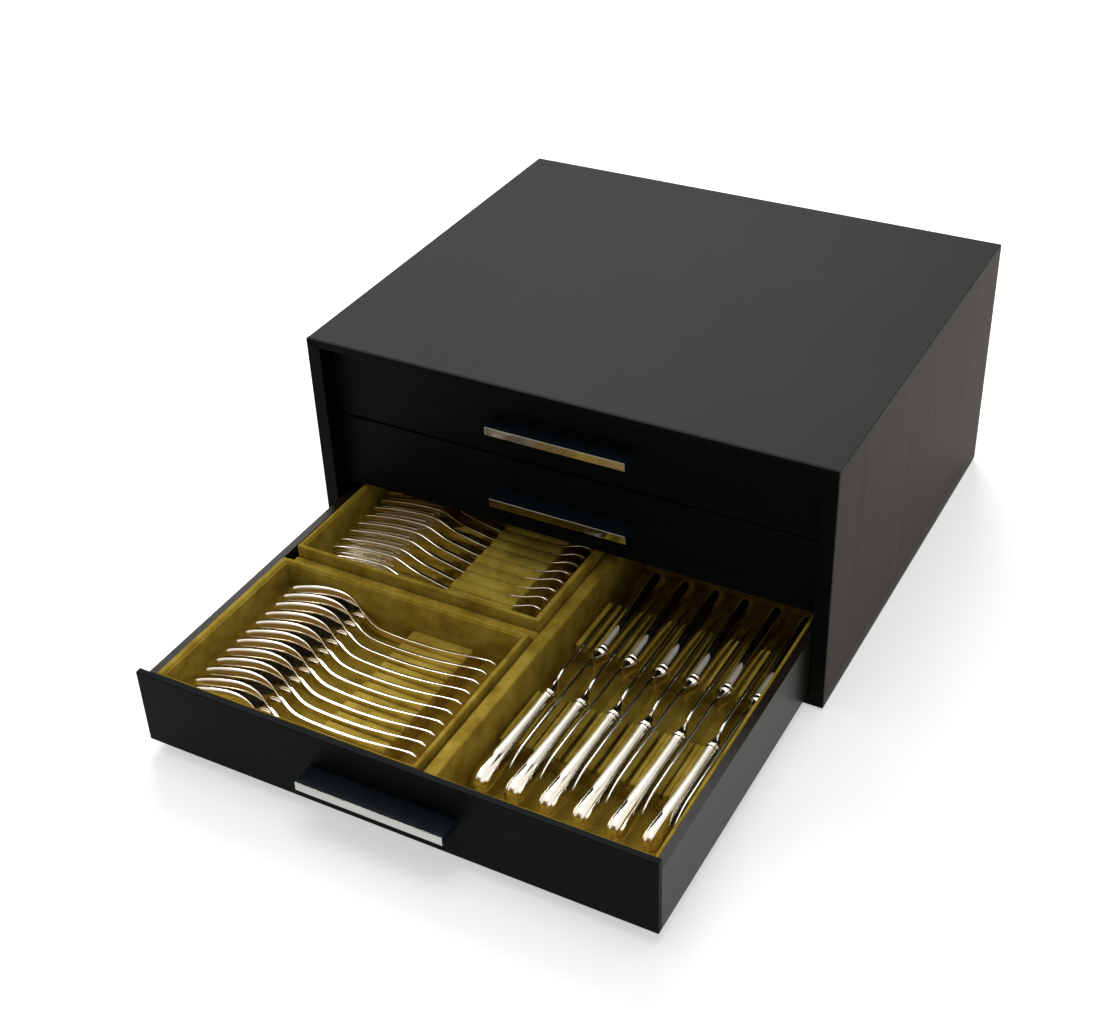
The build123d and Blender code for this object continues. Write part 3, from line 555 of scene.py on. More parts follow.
# Cutlery in millimetres: spoons and forks from the end of the handle at 0 towards -x, and knives
# from the butt at 0 towards +y.
SPOON_LENGTH = 203.6
SPOON_END = 9.4          # half of the handle's width near its end
BOWL_WIDEST = -165.0
BOWL_HALF_WIDTH = 20.0
BOWL_OVAL = 2.3          # how square the oval of the bowl's front half is: 2 is an ellipse
SPOON_NECK = -136.5
DROP_PLACE = (-135.0, 1.6, 0.0)
DROP_SIZE = (6.0, 1.3, 2.4)


def end_round(xs, half):
    """How much a handle's rounded end narrows it."""
    left = np.clip((xs + half) / half, 0, 1)
    return np.sqrt(np.clip(1 - left**2, 0.02, 1))


HANDLE_WAIST = [(-96.0, 2.9, 0.0), (-72.0, 3.3, 0.03), (-55.0, 4.3, 0.08), (-34.0, 6.3, 0.11)]


def egg(middle, size, rings=8, segments=12):
    """An ellipsoid, in millimetres in and metres out."""
    verts = [(middle[0] - size[0], middle[1], middle[2])]
    for i in range(1, rings):
        tilt = math.pi * i / rings
        for k in range(segments):
            turn = 2 * math.pi * k / segments
            away = (-math.cos(tilt), math.sin(tilt) * math.cos(turn), math.sin(tilt) * math.sin(turn))
            verts.append(tuple(middle[a] + size[a] * away[a] for a in range(3)))
    verts.append((middle[0] + size[0], middle[1], middle[2]))
    last = len(verts) - 1
    faces = []
    for k in range(segments):
        after = (k + 1) % segments
        faces.append((0, 1 + after, 1 + k))
        faces.append((last, last - segments + k, last - segments + after))
        for i in range(rings - 2):
            a, b = 1 + i * segments + k, 1 + i * segments + after
            faces.append((a, b, b + segments, a + segments))
    return [Vector(v) * MM for v in verts], faces


def spoon_piece(name):
    """A table spoon on its edge with its belly to the front, and a drop on the back of its neck."""
    tip = -SPOON_LENGTH
    xs = np.concatenate([
        crowded(tip + 0.15, SPOON_NECK, 28),
        np.linspace(SPOON_NECK, -26, 30)[1:],
        crowded(-26, -0.15, 14)[1:],
    ])
    shoulder = [(BOWL_WIDEST, 20.0, 0.0), (-155.0, 19.3, -0.15), (-147.0, 17.0, -0.42), (-141.0, 13.4, -0.78)]
    neck = [(SPOON_NECK, 9.0, -0.95), (-130.0, 4.7, -0.4), (-124.0, 3.5, -0.12), (-116.0, 3.0, -0.03)]
    end = [(-SPOON_END, SPOON_END, 0.04), (0.0, SPOON_END, 0.0)]
    widths = hermite(shoulder + neck + HANDLE_WAIST + end, xs)
    reach = np.clip((BOWL_WIDEST - xs) / (BOWL_WIDEST - tip), 0, 0.9999)
    oval = BOWL_HALF_WIDTH * (1 - reach**BOWL_OVAL) ** (1 / BOWL_OVAL)
    widths = np.where(xs < BOWL_WIDEST, oval, widths) * end_round(xs, SPOON_END)
    rim = [(tip, -8.6, 0.6), (-199.0, -6.8, 0.3), (-182.0, -2.6, 0.27), (-165.0, 2.0, 0.26)]
    rim += [(-150.0, 5.3, 0.15), (-142.0, 6.0, 0.0), (SPOON_NECK, 5.3, -0.28), (-125.0, 1.0, -0.5)]
    rim += [(-118.0, -2.6, -0.42), (-110.0, -5.6, -0.22), (-98.0, -7.2, -0.08), (-80.0, -8.1, -0.03)]
    rim += [(-50.0, -8.7, 0.0), (-24.0, -8.4, 0.0), (0.0, -8.6, 0.0)]
    rims = hermite(rim, xs)
    deep = [(tip, 0.0, 0.7), (-190.0, 5.6, 0.2), (-168.0, 8.4, 0.0), (-148.0, 6.0, -0.26), (-130.0, 0.0, 0.0)]
    depths = np.where(xs < -130.0, hermite(deep, xs), 0.0)
    gauge = hermite([(tip, 1.9, 0), (-150, 2.0, 0), (-128, 2.4, 0), (-60, 2.3, 0), (0, 2.1, 0)], xs)
    columns = [math.sin(a) for a in np.linspace(-math.pi / 2, math.pi / 2, 13)]

    def bend(i, v):
        """The hollow is full across the bowl's middle and rises steeply to the rim."""
        return rims[i] - depths[i] * max(0.0, 1 - abs(v) ** 2.6) ** 0.6

    spoon = plate_piece(name, xs, columns, widths, bend, gauge)
    drop = Shell()
    drop.take(*egg(DROP_PLACE, DROP_SIZE))
    return joined(name, spoon, drop.piece(name + "_drop"))


FORK_LENGTH = 198.0
FORK_END = 10.5
TINE_TAPER = 26.0        # each tine narrows over this length to its point
TINE_POINT = 0.6         # how wide the point is, as a part of the tine
TINE_ROOT = -147.0
TINE_EDGES = (-1.0, -0.62, -0.46, -0.08, 0.08, 0.46, 0.62, 1.0)


def fork_piece(name):
    """A table fork on its edge, with four tines that narrow to their points."""
    tip = -FORK_LENGTH
    xs = np.concatenate([
        np.array([tip + 0.2, tip + 1.2, tip + 3.5]),
        np.linspace(tip + 8, TINE_ROOT - 2, 11),
        np.linspace(TINE_ROOT + 1, -26, 34),
        crowded(-26, -0.15, 14)[1:],
    ])
    columns = []
    for low, high in zip(TINE_EDGES[0::2], TINE_EDGES[1::2]):
        columns += [low, (low + high) / 2, high]
    head = [(tip, 11.2, 0.05), (TINE_ROOT, 12.5, 0.0), (-138.0, 11.4, -0.3), (-126.0, 6.2, -0.4)]
    head += [(-112.0, 3.2, -0.08)]
    end = [(-FORK_END, FORK_END, 0.04), (0.0, FORK_END, 0.0)]
    waist = [(-96.0, 2.9, 0.0), (-60.0, 3.3, 0.02), (-38.0, 4.4, 0.08), (-26.0, 6.0, 0.2)]
    widths = hermite(head + waist + end, xs) * end_round(xs, FORK_END)
    path = [(tip, -8.4, 0.22), (-170.0, -2.8, 0.16), (TINE_ROOT, -0.6, 0.03), (-128.0, -0.6, -0.02)]
    path += [(-110.0, -1.8, -0.15), (-90.0, -6.2, -0.19), (-72.0, -8.0, 0.0), (-50.0, -7.2, 0.07)]
    path += [(-26.0, -5.2, 0.06), (-10.0, -4.4, 0.0), (0.0, -3.4, 0.12)]
    line = hermite(path, xs)
    gauge = hermite([(tip, 2.0, 0), (-150, 2.6, 0), (-112, 3.2, 0), (-70, 2.6, 0), (0, 2.1, 0)], xs)

    def tine(i, v):
        """Narrows each tine towards its point, about the tine's own middle."""
        back = (xs[i] - tip) / TINE_TAPER
        if back >= 1 or xs[i] > TINE_ROOT:
            return v
        number = min(3, sum(v > edge + 1e-9 for edge in TINE_EDGES[2::2]))
        middle = (TINE_EDGES[2 * number] + TINE_EDGES[2 * number + 1]) / 2
        return middle + (v - middle) * (TINE_POINT + (1 - TINE_POINT) * math.sqrt(max(back, 0)))

    def gap(i, j):
        return j % 3 == 2 and xs[i + 1] <= TINE_ROOT

    return plate_piece(name, xs, columns, widths, lambda i, v: line[i], gauge, gap, tine)


GRIP_FLATNESS = 0.70
RING_START = 108.0
RING_END = 111.0
CONE_END = 123.0
KNIFE_LENGTH = 250.0
BUTT_LENGTH = 12.0       # the rounded end of the handle
BUTT_HALF = 10.5
GRIP_END = 104.0         # the thread starts here
TONGUE_WIDTH = 0.42      # half width of the satin tongue on the handle's upper side, in grip half heights
TONGUE_TIP = 10.0        # how long its rounded point is
TONGUE_EDGE = 0.8        # how softly it ends
# The tongues are painted highlights made with satin roughness: long on the front row, where the light runs
# along the handles' tops, short on the back row, though the knives are alike.
FRONT_SATIN_HIGHLIGHT = 30.0      # where the tongues start
BACK_SATIN_HIGHLIGHT = 79.0


def oval_bar(sections, segments=40):
    """A closed bar along y from (y, half width, half height) sections."""
    verts = []
    for y, wide, high in sections:
        for k in range(segments):
            turn = 2 * math.pi * k / segments
            verts.append((wide * math.cos(turn) * MM, y * MM, high * math.sin(turn) * MM))
    faces = []
    for i in range(len(sections) - 1):
        for k in range(segments):
            a, b = i * segments + k, i * segments + (k + 1) % segments
            faces.append((a, a + segments, b + segments, b))
    faces.append(tuple(range(segments)))
    last = (len(sections) - 1) * segments
    faces.append(tuple(last + k for k in reversed(range(segments))))
    return verts, faces


def knife_handle_piece(name, highlight_start):
    """A hollow handle: a full butt, a slim waist, a thread, a ring, and a bolster that meets the blade.

    A satin tongue runs along its upper side from its given start to the thread: a painted highlight made with
    satin roughness.
    """
    full, half = BUTT_LENGTH, BUTT_HALF
    turns = np.linspace(0.06, math.pi / 2, 9)
    outline = [(full * (1 - math.cos(a)), half * math.sin(a)) for a in turns]
    ys = np.concatenate([np.linspace(full, 76, 24)[1:], np.linspace(77, GRIP_END, 22)])
    sizes = hermite([(full, half, 0.0), (45.0, 8.6, -0.05), (84.0, 6.9, -0.02), (GRIP_END, 7.0, 0.03)], ys)
    outline += zip(ys, sizes)
    outline += [(104.6, 7.2), (105.3, 7.4), (106.0, 7.1), (106.5, 6.7), (107.6, 6.7)]
    sections = [(y, GRIP_FLATNESS * r, r) for y, r in outline]
    sections += [(RING_START, 5.3, 7.0), (RING_START + 0.6, 5.8, 7.3)]
    sections += [(RING_END - 0.6, 5.8, 7.3), (RING_END, 5.3, 7.0)]
    sections += [(RING_END + 0.4, 5.0, 6.6), (114.0, 4.3, 6.6), (117.0, 3.2, 6.9), (120.0, 2.1, 7.3)]
    sections += [(CONE_END - 0.3, 1.35, 7.6), (CONE_END, 1.1, 7.5)]
    handle = Shell()
    handle.take(*oval_bar(sections, 56))
    piece = handle.piece(name)
    satin = piece.data.attributes.new("satin", "FLOAT", "POINT")
    for vert, value in zip(piece.data.vertices, satin.data):
        x, y, z = vert.co / MM
        along = (y - highlight_start) / TONGUE_TIP
        if z > 0 and 0 < along and y < GRIP_END:
            half = TONGUE_WIDTH * float(np.interp(y, ys, sizes))
            reach = half * math.sqrt(1 - (1 - min(along, 1)) ** 2)
            value.value = min(max((reach - abs(x)) / TONGUE_EDGE + 0.5, 0), 1)
    return piece


def knife_blade_piece(name):
    """A ground blade: a thick straight back, flanks that thin to the edge, and a rounded point."""
    root = CONE_END - 4
    back = [(root, 6.2, 0.2), (CONE_END, 7.4, 0.26), (132.0, 9.3, 0.1), (142.0, 9.5, 0.0)]
    back += [(222.0, 9.5, -0.02), (242.0, 7.2, -0.28), (KNIFE_LENGTH, 2.9, -0.9)]
    edge = [(root, -6.2, -0.2), (CONE_END, -7.4, -0.26), (132.0, -9.3, -0.1), (142.0, -9.5, 0.0)]
    edge += [(222.0, -9.2, 0.05), (240.0, -5.4, 0.5), (KNIFE_LENGTH, 1.7, 1.2)]
    near, middle, point = np.linspace(root, 142, 10), np.linspace(142, 222, 9), crowded(222, KNIFE_LENGTH, 12)
    ys = np.concatenate([near, middle[1:], point[1:]])
    tops, bottoms = hermite(back, ys), hermite(edge, ys)
    thick = hermite([(root, 1.0, 0), (142, 1.0, 0), (222, 0.85, 0), (KNIFE_LENGTH, 0.5, 0)], ys)
    flank = [(0.7, 1.0), (0.97, 0.985), (1.0, 0.94), (0.9, 0.5), (0.6, 0.12), (0.15, 0.0)]
    loop = flank + [(-w, h) for w, h in reversed(flank)]
    verts = []
    for y, top, bottom, half in zip(ys, tops, bottoms, thick):
        verts += [(w * half * MM, y * MM, (bottom + (top - bottom) * h) * MM) for w, h in loop]
    count = len(loop)
    faces = []
    for i in range(len(ys) - 1):
        for k in range(count):
            a, b = i * count + k, i * count + (k + 1) % count
            faces.append((a, a + count, b + count, b))
    faces.append(tuple(range(count)))
    faces.append(tuple((len(ys) - 1) * count + k for k in reversed(range(count))))
    return make_piece(name, verts, faces)


def outward(piece):
    """Turns all faces of closed forms outwards."""
    form = bmesh.new()
    form.from_mesh(piece.data)
    bmesh.ops.recalc_face_normals(form, faces=form.faces)
    form.to_mesh(piece.data)
    form.free()
    return piece


# The places of cutlery and racks in the bottom drawer, in the drawer's own frame, in millimetres.
FLATWARE_COUNT = 12
FLATWARE_PITCH = 12.4
SPOON_PLACE = Vector((7.0, 160.6, 28.8))
FORK_PLACE = Vector((10.0, 333.2, 34.5))
KNIFE_PAIRS = 6
KNIFE_PITCH = 26.1
COUNTER_PITCH = 25.6
KNIFE_PLACE = Vector((52.0, 36.5, 28.0))
COUNTER_PLACE = Vector((64.0, 314.0, 28.0))


def lay_flatware(drawer):
    step = (0, -FLATWARE_PITCH, 0)
    plate = MATERIALS["silver"]
    spoons = outward(spoon_piece("table_spoons_on_edge"))
    shift, turn = (0.5, 0.35, 0), (0.4, 0, 0.25)
    lay_row(spoons, FLATWARE_COUNT, drawer + SPOON_PLACE, step, plate, shift, turn, seed=3)
    finish_piece(spoons, "bottom_drawer", "silver_plate", plate, "table_spoons")
    forks = outward(fork_piece("table_forks_on_edge"))
    shift, turn = (0.6, 0.35, 0), (0.5, 0, 0.25)
    lay_row(forks, FLATWARE_COUNT, drawer + FORK_PLACE, step, plate, shift, turn, seed=5)
    finish_piece(forks, "bottom_drawer", "silver_plate", plate, "table_forks")


def turned_about(piece):
    """Turns a knife to point the other way."""
    piece.data.transform(Matrix.Rotation(math.pi, 4, "Z"))
    return piece


def joined(name, first, second):
    """Two pieces made one."""
    form = bmesh.new()
    form.from_mesh(first.data)
    form.from_mesh(second.data)
    mesh = bpy.data.meshes.new(name)
    form.to_mesh(mesh)
    form.free()
    mesh.shade_smooth()
    piece = bpy.data.objects.new(name, mesh)
    bpy.context.scene.collection.objects.link(piece)
    for spent in (first, second):
        bpy.data.objects.remove(spent)
    return piece


def lay_knife_parts(drawer, node, front, back, slot, finish):
    """Lays one part of the knives in both rows, the second row turned about, and makes them one piece."""
    shift, turn = (0.3, 0.8, 0), (0, 0, 0.2)
    outward(front)
    turned_about(outward(back))
    first, step = drawer + KNIFE_PLACE, (KNIFE_PITCH, 0, 0)
    lay_row(front, KNIFE_PAIRS, first, step, finish, shift, turn, seed=7)
    first, step = drawer + COUNTER_PLACE, (COUNTER_PITCH, 0, 0)
    lay_row(back, KNIFE_PAIRS, first, step, finish, shift, turn, seed=9)
    finish_piece(joined(node + "_in_racks", front, back), "bottom_drawer", slot, finish, node)


def lay_knives(drawer):
    front = knife_handle_piece("knife_handles_front", FRONT_SATIN_HIGHLIGHT)
    back = knife_handle_piece("knife_handles_back", BACK_SATIN_HIGHLIGHT)
    lay_knife_parts(drawer, "knife_handles", front, back, "silver_plate", MATERIALS["silver"])
    front, back = knife_blade_piece("knife_blades_front"), knife_blade_piece("knife_blades_back")
    lay_knife_parts(drawer, "knife_blades", front, back, "blade_steel", MATERIALS["blade"])


# ---- velvet trays, dividers and racks

# Millimetres. Card and wadding lie under all the velvet.
CLOTH_WAVE = 0.25
LINING_FLOOR = 1.5       # cloth on a drawer's floor
SIDE_PAD = 3.0           # padding against a drawer's sides
END_PAD = 2.5            # padding against its front and back
SIDE_EDGE = 1.4          # edge radius of each
END_EDGE = 1.1
FLOOR_EDGE = 0.3
DIVIDER_EDGE = 1.8
TRAY_FLOOR = 2.0
TRAY_EDGE = 0.4
LINING_CARD = 0.9        # the card that lines a tray
CARD_DROP = 1.8          # how far below the rim the card ends
CARD_EDGE = 0.35
RIM_ROUND = 0.45         # radius of a tray's rim, as a part of its wall


def velvet_piece(name, boxes, body, slot, finish, *nodes):
    """One velvet piece made of boxes with soft edges: each box is (low, high, edge radius)."""
    shell = Shell()
    for number, (low, high, radius) in enumerate(boxes):
        shell.take(*rounded_box(low, high, radius, wave=CLOTH_WAVE, seed=number * 3.7))
    piece = outward(shell.piece(name))
    finish_piece(piece, body, slot, MATERIALS[finish], *nodes)


def node_span(node):
    low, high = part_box(node)
    return low / MM, high / MM


def tray_boxes(node, left, right, front, rear):
    """A tray's floor, four padded walls with rounded rims, and the card that lines three of them."""
    low, high = node_span(node)
    x0, y0, z0 = low.x + left, low.y + front, low.z + TRAY_FLOOR
    x1, y1, z1 = high.x - right, high.y - rear, high.z - CARD_DROP
    tuck = 1.5               # the front and rear walls run this far into the side walls
    bite = 0.5               # and the card this far into each wall
    base = [((low.x + bite, low.y + bite, low.z), (high.x - bite, high.y - bite, z0), TRAY_EDGE)]
    rims = [
        (low, (x0, high.y, high.z), left * RIM_ROUND),
        ((x1, low.y, low.z), high, right * RIM_ROUND),
        ((x0 - tuck, low.y, low.z), (x1 + tuck, y0, high.z), front * RIM_ROUND),
        ((x0 - tuck, y1, low.z), (x1 + tuck, high.y, high.z), rear * RIM_ROUND),
    ]
    cards = [
        ((x0 - bite, y0, z0 - 1), (x0 + LINING_CARD, y1, z1), CARD_EDGE),
        ((x0, y1 - LINING_CARD, z0 - 1), (x1, y1 + bite, z1), CARD_EDGE),
        ((x1 - LINING_CARD, y0, z0 - 1), (x1 + bite, y1, z1), CARD_EDGE),
    ]
    return base + rims + cards


FORK_BED_RIGHT = -104.0  # the low bed under the forks' heads ends here
FORK_BED_TOP = 21.9
BED_EDGE = 1.0
RACK_EDGE = 0.6          # edge radius of a rack's base
ROLL_EDGE = 1.2          # and of the rolls between the flatware
LAST_ROLL_EDGE = 2.6     # and of the wide one behind them
ROLL_CROWN = 2.4         # how late a roll's top begins to fall towards its flanks
ROLL_WIDTH = 4.0         # the knife racks' rolls are about this wide
ROLL_ROUND = 0.48        # and nearly half round
GRIP_GROOVE = 13.2       # width of the grooves for the handles
BLADE_GROOVE = 3.0       # and for the blades
KNIFE_RACK_FLOOR = 18.1  # levels above the drawer's lower edge
KNIFE_RACK_TOP = 24.5


def rib_piece(name, length, width, height, groove):
    """One padded roll, longest along x, on its own origin at its foot; groove is how far its flanks fall."""
    shell = Shell()
    low = (-length / 2, -width / 2, -2.0)
    high = (length / 2, width / 2, height)
    verts, faces = rounded_box(low, high, ROLL_EDGE, step=1.6)
    crowned = []
    for x, y, z in verts:
        fall = groove * MM * abs(y / (width / 2 * MM)) ** ROLL_CROWN
        crowned.append((x, y, z - fall if z > 0.5 * height * MM else z))
    shell.take(crowned, faces)
    return outward(shell.piece(name))


def flatware_rack(name, node, drawer, place, rack_x, rolls, levels):
    """A base block with a padded roll between each slot and the next, and a wide one behind the last slot.

    rolls is (width, groove, shift): how wide a roll is, how far its flanks fall, and how far the slots
    lie from the cutlery's places. levels is (slot floor, top of the rolls).
    """
    low, high = node_span(node)
    width, groove, shift = rolls
    floor, top = (drawer.z + level for level in levels)
    left, right = (drawer.x + x for x in rack_x)
    rear = drawer.y + place.y + shift + (FLATWARE_PITCH - width) / 2
    shell = Shell()
    shell.take(*rounded_box((left, low.y, low.z), (right, high.y, floor), RACK_EDGE))
    shell.take(*rounded_box((left, rear, floor - 2), (right, high.y, top), LAST_ROLL_EDGE))
    if low.x < left - 1:
        bed = (drawer.x + FORK_BED_RIGHT, high.y, drawer.z + FORK_BED_TOP)
        shell.take(*rounded_box(low, bed, BED_EDGE))
    block = outward(shell.piece(name + "_block"))
    ribs = rib_piece(name + "_rolls", right - left, width, top - floor, groove)
    first = ((left + right) / 2, drawer.y + place.y + shift - FLATWARE_PITCH / 2, floor)
    step = (0, -FLATWARE_PITCH, 0)
    shift, turn = (0.5, 0.15, 0.25), (0, 0, 0.3)
    lay_row(ribs, FLATWARE_COUNT - 1, first, step, MATERIALS["rack"], shift, turn, seed=11)
    piece = joined(name, block, ribs)
    finish_piece(piece, "bottom_drawer", "velvet_rack", MATERIALS["rack"], node)


def knife_rack(name, node, grips, blades, drawer):
    """Padded rolls between the grooves for the handles and the slots for the blades."""
    floor, top = drawer.z + KNIFE_RACK_FLOOR, drawer.z + KNIFE_RACK_TOP
    low, high = node_span(node)
    edges = [low.x]
    grooves = [(x, GRIP_GROOVE) for x in grips] + [(x, BLADE_GROOVE) for x in blades]
    for middle, width in sorted(grooves):
        edges += [drawer.x + middle - width / 2, drawer.x + middle + width / 2]
    edges.append(high.x)
    boxes = [(low, (high.x, high.y, floor), RACK_EDGE)]
    for left, right in zip(edges[0::2], edges[1::2]):
        count = max(1, round((right - left) / ROLL_WIDTH))
        wide = (right - left) / count
        for number in range(count):
            x = left + wide * number
            boxes.append(((x, low.y, floor - 2), (x + wide, high.y, top), wide * ROLL_ROUND))
    velvet_piece(name, boxes, "bottom_drawer", "velvet_rack", "rack", node)


def bottom_piece(name, boxes, node):
    """A lined part of the bottom drawer."""
    velvet_piece(name, boxes, "bottom_drawer", "velvet_lining", "velvet", node)


def bottom_velvet(drawer):
    """The bottom drawer's lining, dividers, trays and racks."""
    low, high = node_span("bottom_drawer_lining")
    floor = low.z + LINING_FLOOR
    left, right = node_span("centre_divider")[1].x, high.x - SIDE_PAD
    lining = [
        (low, (high.x, high.y, floor), FLOOR_EDGE),
        ((right, low.y, floor - 1), high, SIDE_EDGE),
        ((left, low.y, floor - 1), (right, low.y + END_PAD, high.z), END_EDGE),
        ((left, high.y - END_PAD, floor - 1), (right, high.y, high.z), END_EDGE),
    ]
    bottom_piece("bottom_drawer_velvet", lining, "bottom_drawer_lining")
    for divider in ("centre_divider", "cross_divider"):
        bottom_piece(divider + "_velvet", [(*node_span(divider), DIVIDER_EDGE)], divider)
    spoon = tray_boxes("spoon_tray", left=6.0, right=3.5, front=1.2, rear=4.5)
    bottom_piece("spoon_tray_velvet", spoon, "spoon_tray")
    fork = tray_boxes("fork_tray", left=4.0, right=4.0, front=4.0, rear=4.0)
    bottom_piece("fork_tray_velvet", fork, "fork_tray")
    rack_x, rolls, levels = (-80.0, -25.0), (9.6, 1.2, -8.3), (21.5, 29.5)
    flatware_rack("spoon_rack_rolls", "spoon_rack", drawer, SPOON_PLACE, rack_x, rolls, levels)
    rack_x, rolls, levels = (-75.0, -16.5), (12.3, 1.8, -6.7), (26.0, 41.0)
    flatware_rack("fork_rack_rolls", "fork_rack", drawer, FORK_PLACE, rack_x, rolls, levels)
    knife_xs = [KNIFE_PLACE.x + KNIFE_PITCH * i for i in range(KNIFE_PAIRS)]
    counter_xs = [COUNTER_PLACE.x + COUNTER_PITCH * i for i in range(KNIFE_PAIRS)]
    knife_rack("front_knife_rack_rolls", "front_knife_rack", knife_xs, counter_xs, drawer)
    knife_rack("rear_knife_rack_rolls", "rear_knife_rack", counter_xs, knife_xs, drawer)


# The slotted racks of the upper drawers, in millimetres from each drawer's own origin.
UPPER_PITCH = {"middle": 20.0, "top": 16.0}
UPPER_RACK_XS = (-140.0, -60.0, 60.0, 140.0)
UPPER_RACK_HALF = 18.0
UPPER_SLOT = 3.8
UPPER_END = 14.0         # from a rack's end to its first slot
UPPER_FLOOR = 12.0
UPPER_TOP = 24.0
UPPER_ROLL_EDGE = 3.2


def upper_velvet(name):
    """The lining, divider and slotted racks of a shut drawer."""
    body = f"{name}_drawer"
    low, high = node_span(f"{name}_drawer_lining")
    floor = low.z + LINING_FLOOR
    left, right = low.x + SIDE_PAD, high.x - SIDE_PAD
    lining = [
        (low, (high.x, high.y, floor), FLOOR_EDGE),
        ((low.x, low.y, floor - 1), (left, high.y, high.z), SIDE_EDGE),
        ((right, low.y, floor - 1), high, SIDE_EDGE),
        ((left, low.y, floor - 1), (right, low.y + END_PAD, high.z), END_EDGE),
        ((left, high.y - END_PAD, floor - 1), (right, high.y, high.z), END_EDGE),
    ]
    velvet_piece(f"{name}_drawer_velvet", lining, body, "velvet_lining", "velvet", f"{name}_drawer_lining")
    node = f"{name}_drawer_divider"
    divider = [(*node_span(node), DIVIDER_EDGE)]
    velvet_piece(f"{name}_divider_velvet", divider, body, "velvet_lining", "velvet", node)
    pitch = UPPER_PITCH[name]
    node = f"{name}_drawer_racks"
    low, high = node_span(node)
    bottom = drawer_frame(name).z
    count = int((high.y - low.y - 2 * UPPER_END) / pitch) + 1
    spans = [low.y]
    for number in range(count):
        middle = low.y + UPPER_END + pitch * number
        spans += [middle - UPPER_SLOT / 2, middle + UPPER_SLOT / 2]
    spans.append(high.y)
    base, top = bottom + UPPER_FLOOR, bottom + UPPER_TOP
    boxes = []
    for middle in UPPER_RACK_XS:
        left, right = middle - UPPER_RACK_HALF, middle + UPPER_RACK_HALF
        boxes.append(((left, low.y, low.z), (right, high.y, base), RACK_EDGE))
        for front, rear in zip(spans[0::2], spans[1::2]):
            boxes.append(((left, front, base - 2), (right, rear, top), UPPER_ROLL_EDGE))
    velvet_piece(f"{name}_drawer_rack_rolls", boxes, body, "velvet_rack", "rack", node)


# ---- floor, light and camera

FLOOR_HALF = 6.0         # metres
FLOOR_GLOW = 0.5         # what the floor adds to its own lit colour for shown rays, to come out white
ROOM_LIGHT = 0.42
DIM_SIDE = Vector((0.0, -0.94, 0.34))
DIM_REACH = (0.45, 0.78)  # cosines to that side at which the dim begins and is full
DIM_HEIGHT = (0.12, 0.26)  # heights of the look at which it does so


def shown_rays(tree):
    """1 for rays from the camera and for those that metal and glass send on, and 0 for the light's own."""
    rays = add(tree, "ShaderNodeLightPath").outputs
    pair = {0: rays["Is Glossy Ray"], 1: rays["Is Transmission Ray"]}
    sent = add(tree, "ShaderNodeMath", pair, operation="MAXIMUM")
    pair = {0: rays["Is Camera Ray"], 1: sent.outputs[0]}
    return add(tree, "ShaderNodeMath", pair, operation="MAXIMUM").outputs[0]


def build_floor():
    """A pale floor that shows white, and keeps the object's shadow."""
    corners = [(x * FLOOR_HALF, y * FLOOR_HALF, 0) for x, y in ((-1, -1), (1, -1), (1, 1), (-1, 1))]
    floor = make_piece("floor", corners, [(0, 1, 2, 3)])
    material, tree, shader = blank_material("pale_floor")
    shader.inputs["Base Color"].default_value = linear("#F2F2F0")
    shader.inputs["Roughness"].default_value = 0.9
    lift = add(tree, "ShaderNodeMath", {0: shown_rays(tree), 1: FLOOR_GLOW}, operation="MULTIPLY")
    shader.inputs["Emission Color"].default_value = linear("#FFFFFF")
    tree.links.new(lift.outputs[0], shader.inputs["Emission Strength"])
    floor.data.materials.append(material)


def build_world():
    """A plain grey room for the light, and white paper where the camera or a reflection looks.

    High over the side that the drawers open to, the room is dim and warm, as where the light comes
    from behind. Camera, metal and glass all see the same.
    """
    world = bpy.data.worlds.new("studio")
    bpy.context.scene.world = world
    world.use_nodes = True
    tree = world.node_tree
    tree.nodes.clear()
    look = add(tree, "ShaderNodeTexCoord").outputs["Generated"]
    toward = add(tree, "ShaderNodeVectorMath", {0: look, 1: DIM_SIDE.normalized()}, operation="DOT_PRODUCT")
    near = add(tree, "ShaderNodeMapRange", {0: toward.outputs["Value"], 1: DIM_REACH[0], 2: DIM_REACH[1]})
    height = add(tree, "ShaderNodeSeparateXYZ", {0: look}).outputs["Z"]
    above = add(tree, "ShaderNodeMapRange", {0: height, 1: DIM_HEIGHT[0], 2: DIM_HEIGHT[1]})
    dim = add(tree, "ShaderNodeMath", {0: near.outputs[0], 1: above.outputs[0]}, operation="MULTIPLY")
    room = add(tree, "ShaderNodeBackground", {"Color": linear("#E6E6E6"), "Strength": ROOM_LIGHT})
    pair = {0: dim.outputs[0], 6: linear("#FFFFFF"), 7: linear("#6C5324")}
    seen = add(tree, "ShaderNodeMix", pair, data_type="RGBA")
    paper = add(tree, "ShaderNodeBackground", {"Color": seen.outputs[2]})
    mix = add(tree, "ShaderNodeMixShader", {0: shown_rays(tree), 1: room.outputs[0], 2: paper.outputs[0]})
    add(tree, "ShaderNodeOutputWorld", {"Surface": mix.outputs[0]})


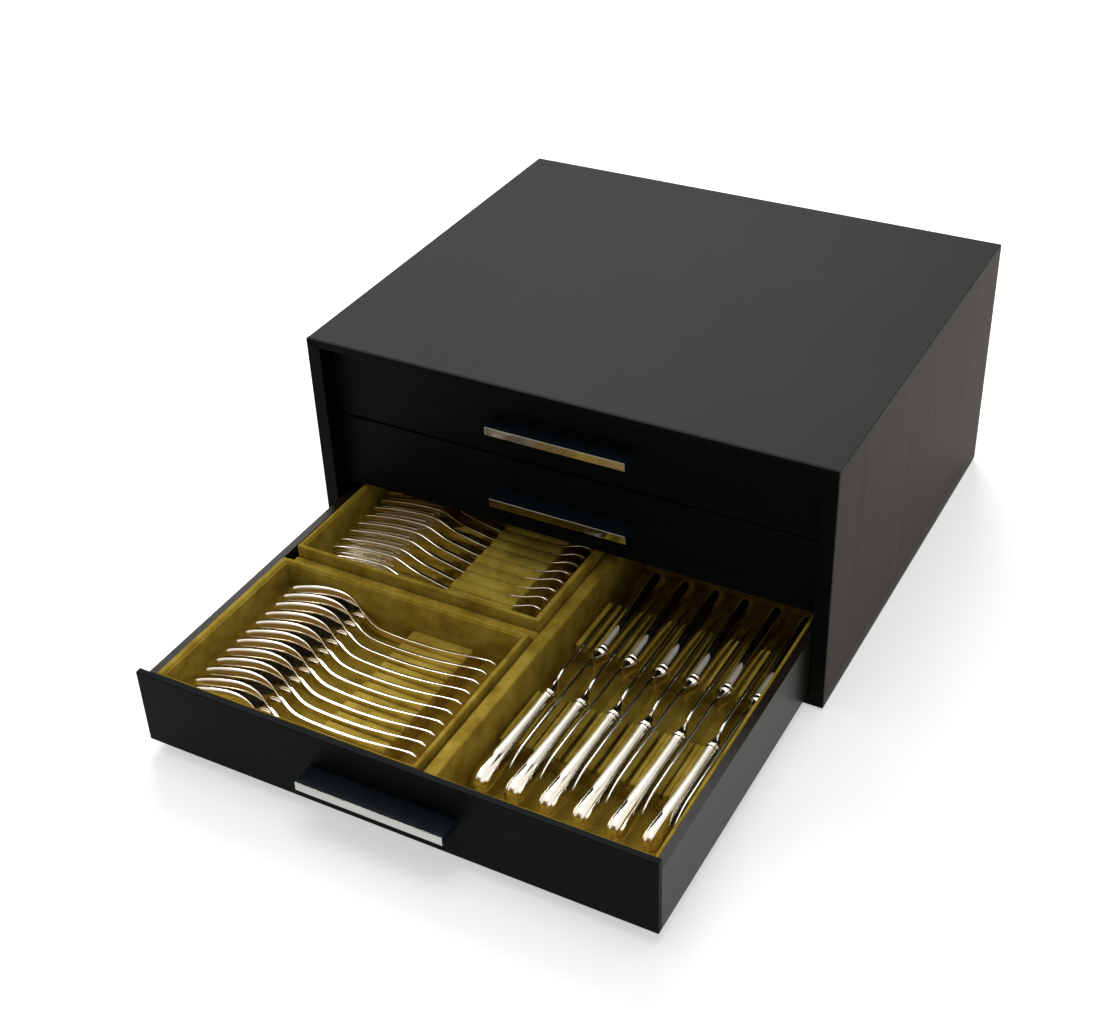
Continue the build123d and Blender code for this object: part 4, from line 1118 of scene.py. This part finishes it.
def area_light(name, place, aim, size, power):
    """A softbox, in metres and watts."""
    light = bpy.data.lights.new(name, "AREA")
    light.shape = "RECTANGLE"
    light.size, light.size_y = size
    light.energy = power
    lamp = bpy.data.objects.new(name, light)
    bpy.context.scene.collection.objects.link(lamp)
    lamp.location = place
    lamp.rotation_euler = (Vector(aim) - Vector(place)).to_track_quat("-Z", "Y").to_euler()


# The camera stands this far from its aim, in metres and degrees; azimuth 0 is straight in front.
CAMERA_AZIMUTH = 29.90
CAMERA_ELEVATION = 35.03
CAMERA_ROLL = -2.49
CAMERA_DISTANCE = 1.3185
CAMERA_AIM = Vector((-0.00712, -0.192, 0.1148))
FOCAL_PIXELS = 1703.2
IMAGE_WIDTH = 1100
SENSOR_WIDTH = 36.0      # millimetres


def build_camera():
    azimuth, elevation, roll = map(math.radians, (CAMERA_AZIMUTH, CAMERA_ELEVATION, CAMERA_ROLL))
    level = math.cos(elevation)
    back = Vector((math.sin(azimuth) * level, -math.cos(azimuth) * level, math.sin(elevation)))
    right = (-back).cross(Vector((0, 0, 1))).normalized()
    up = right.cross(-back)
    turned_right = math.cos(roll) * right + math.sin(roll) * up
    turned_up = -math.sin(roll) * right + math.cos(roll) * up
    data = bpy.data.cameras.new("camera")
    data.sensor_width = SENSOR_WIDTH
    data.lens = FOCAL_PIXELS / IMAGE_WIDTH * data.sensor_width
    data.clip_start, data.clip_end = 0.05, 50
    camera = bpy.data.objects.new("camera", data)
    bpy.context.scene.collection.objects.link(camera)
    turn = Matrix((turned_right, turned_up, back)).transposed().to_4x4()
    camera.matrix_world = Matrix.Translation(CAMERA_AIM + back * CAMERA_DISTANCE) @ turn
    bpy.context.scene.camera = camera


# ---- the scene

bpy.context.scene.view_settings.view_transform = "Standard"
build_camera()
build_world()
build_floor()
area_light("rear_softbox", place=(-0.75, 1.05, 1.55), aim=(0, -0.15, 0.1), size=(1.5, 1.1), power=30)
area_light("overhead_softbox", place=(0.1, -0.3, 1.9), aim=(0, -0.2, 0.1), size=(1.2, 1.2), power=9)

dress_nodes()
BOTTOM = drawer_frame("bottom")
bottom_velvet(BOTTOM)
upper_velvet("middle")
upper_velvet("top")
lay_flatware(BOTTOM)
lay_knives(BOTTOM)
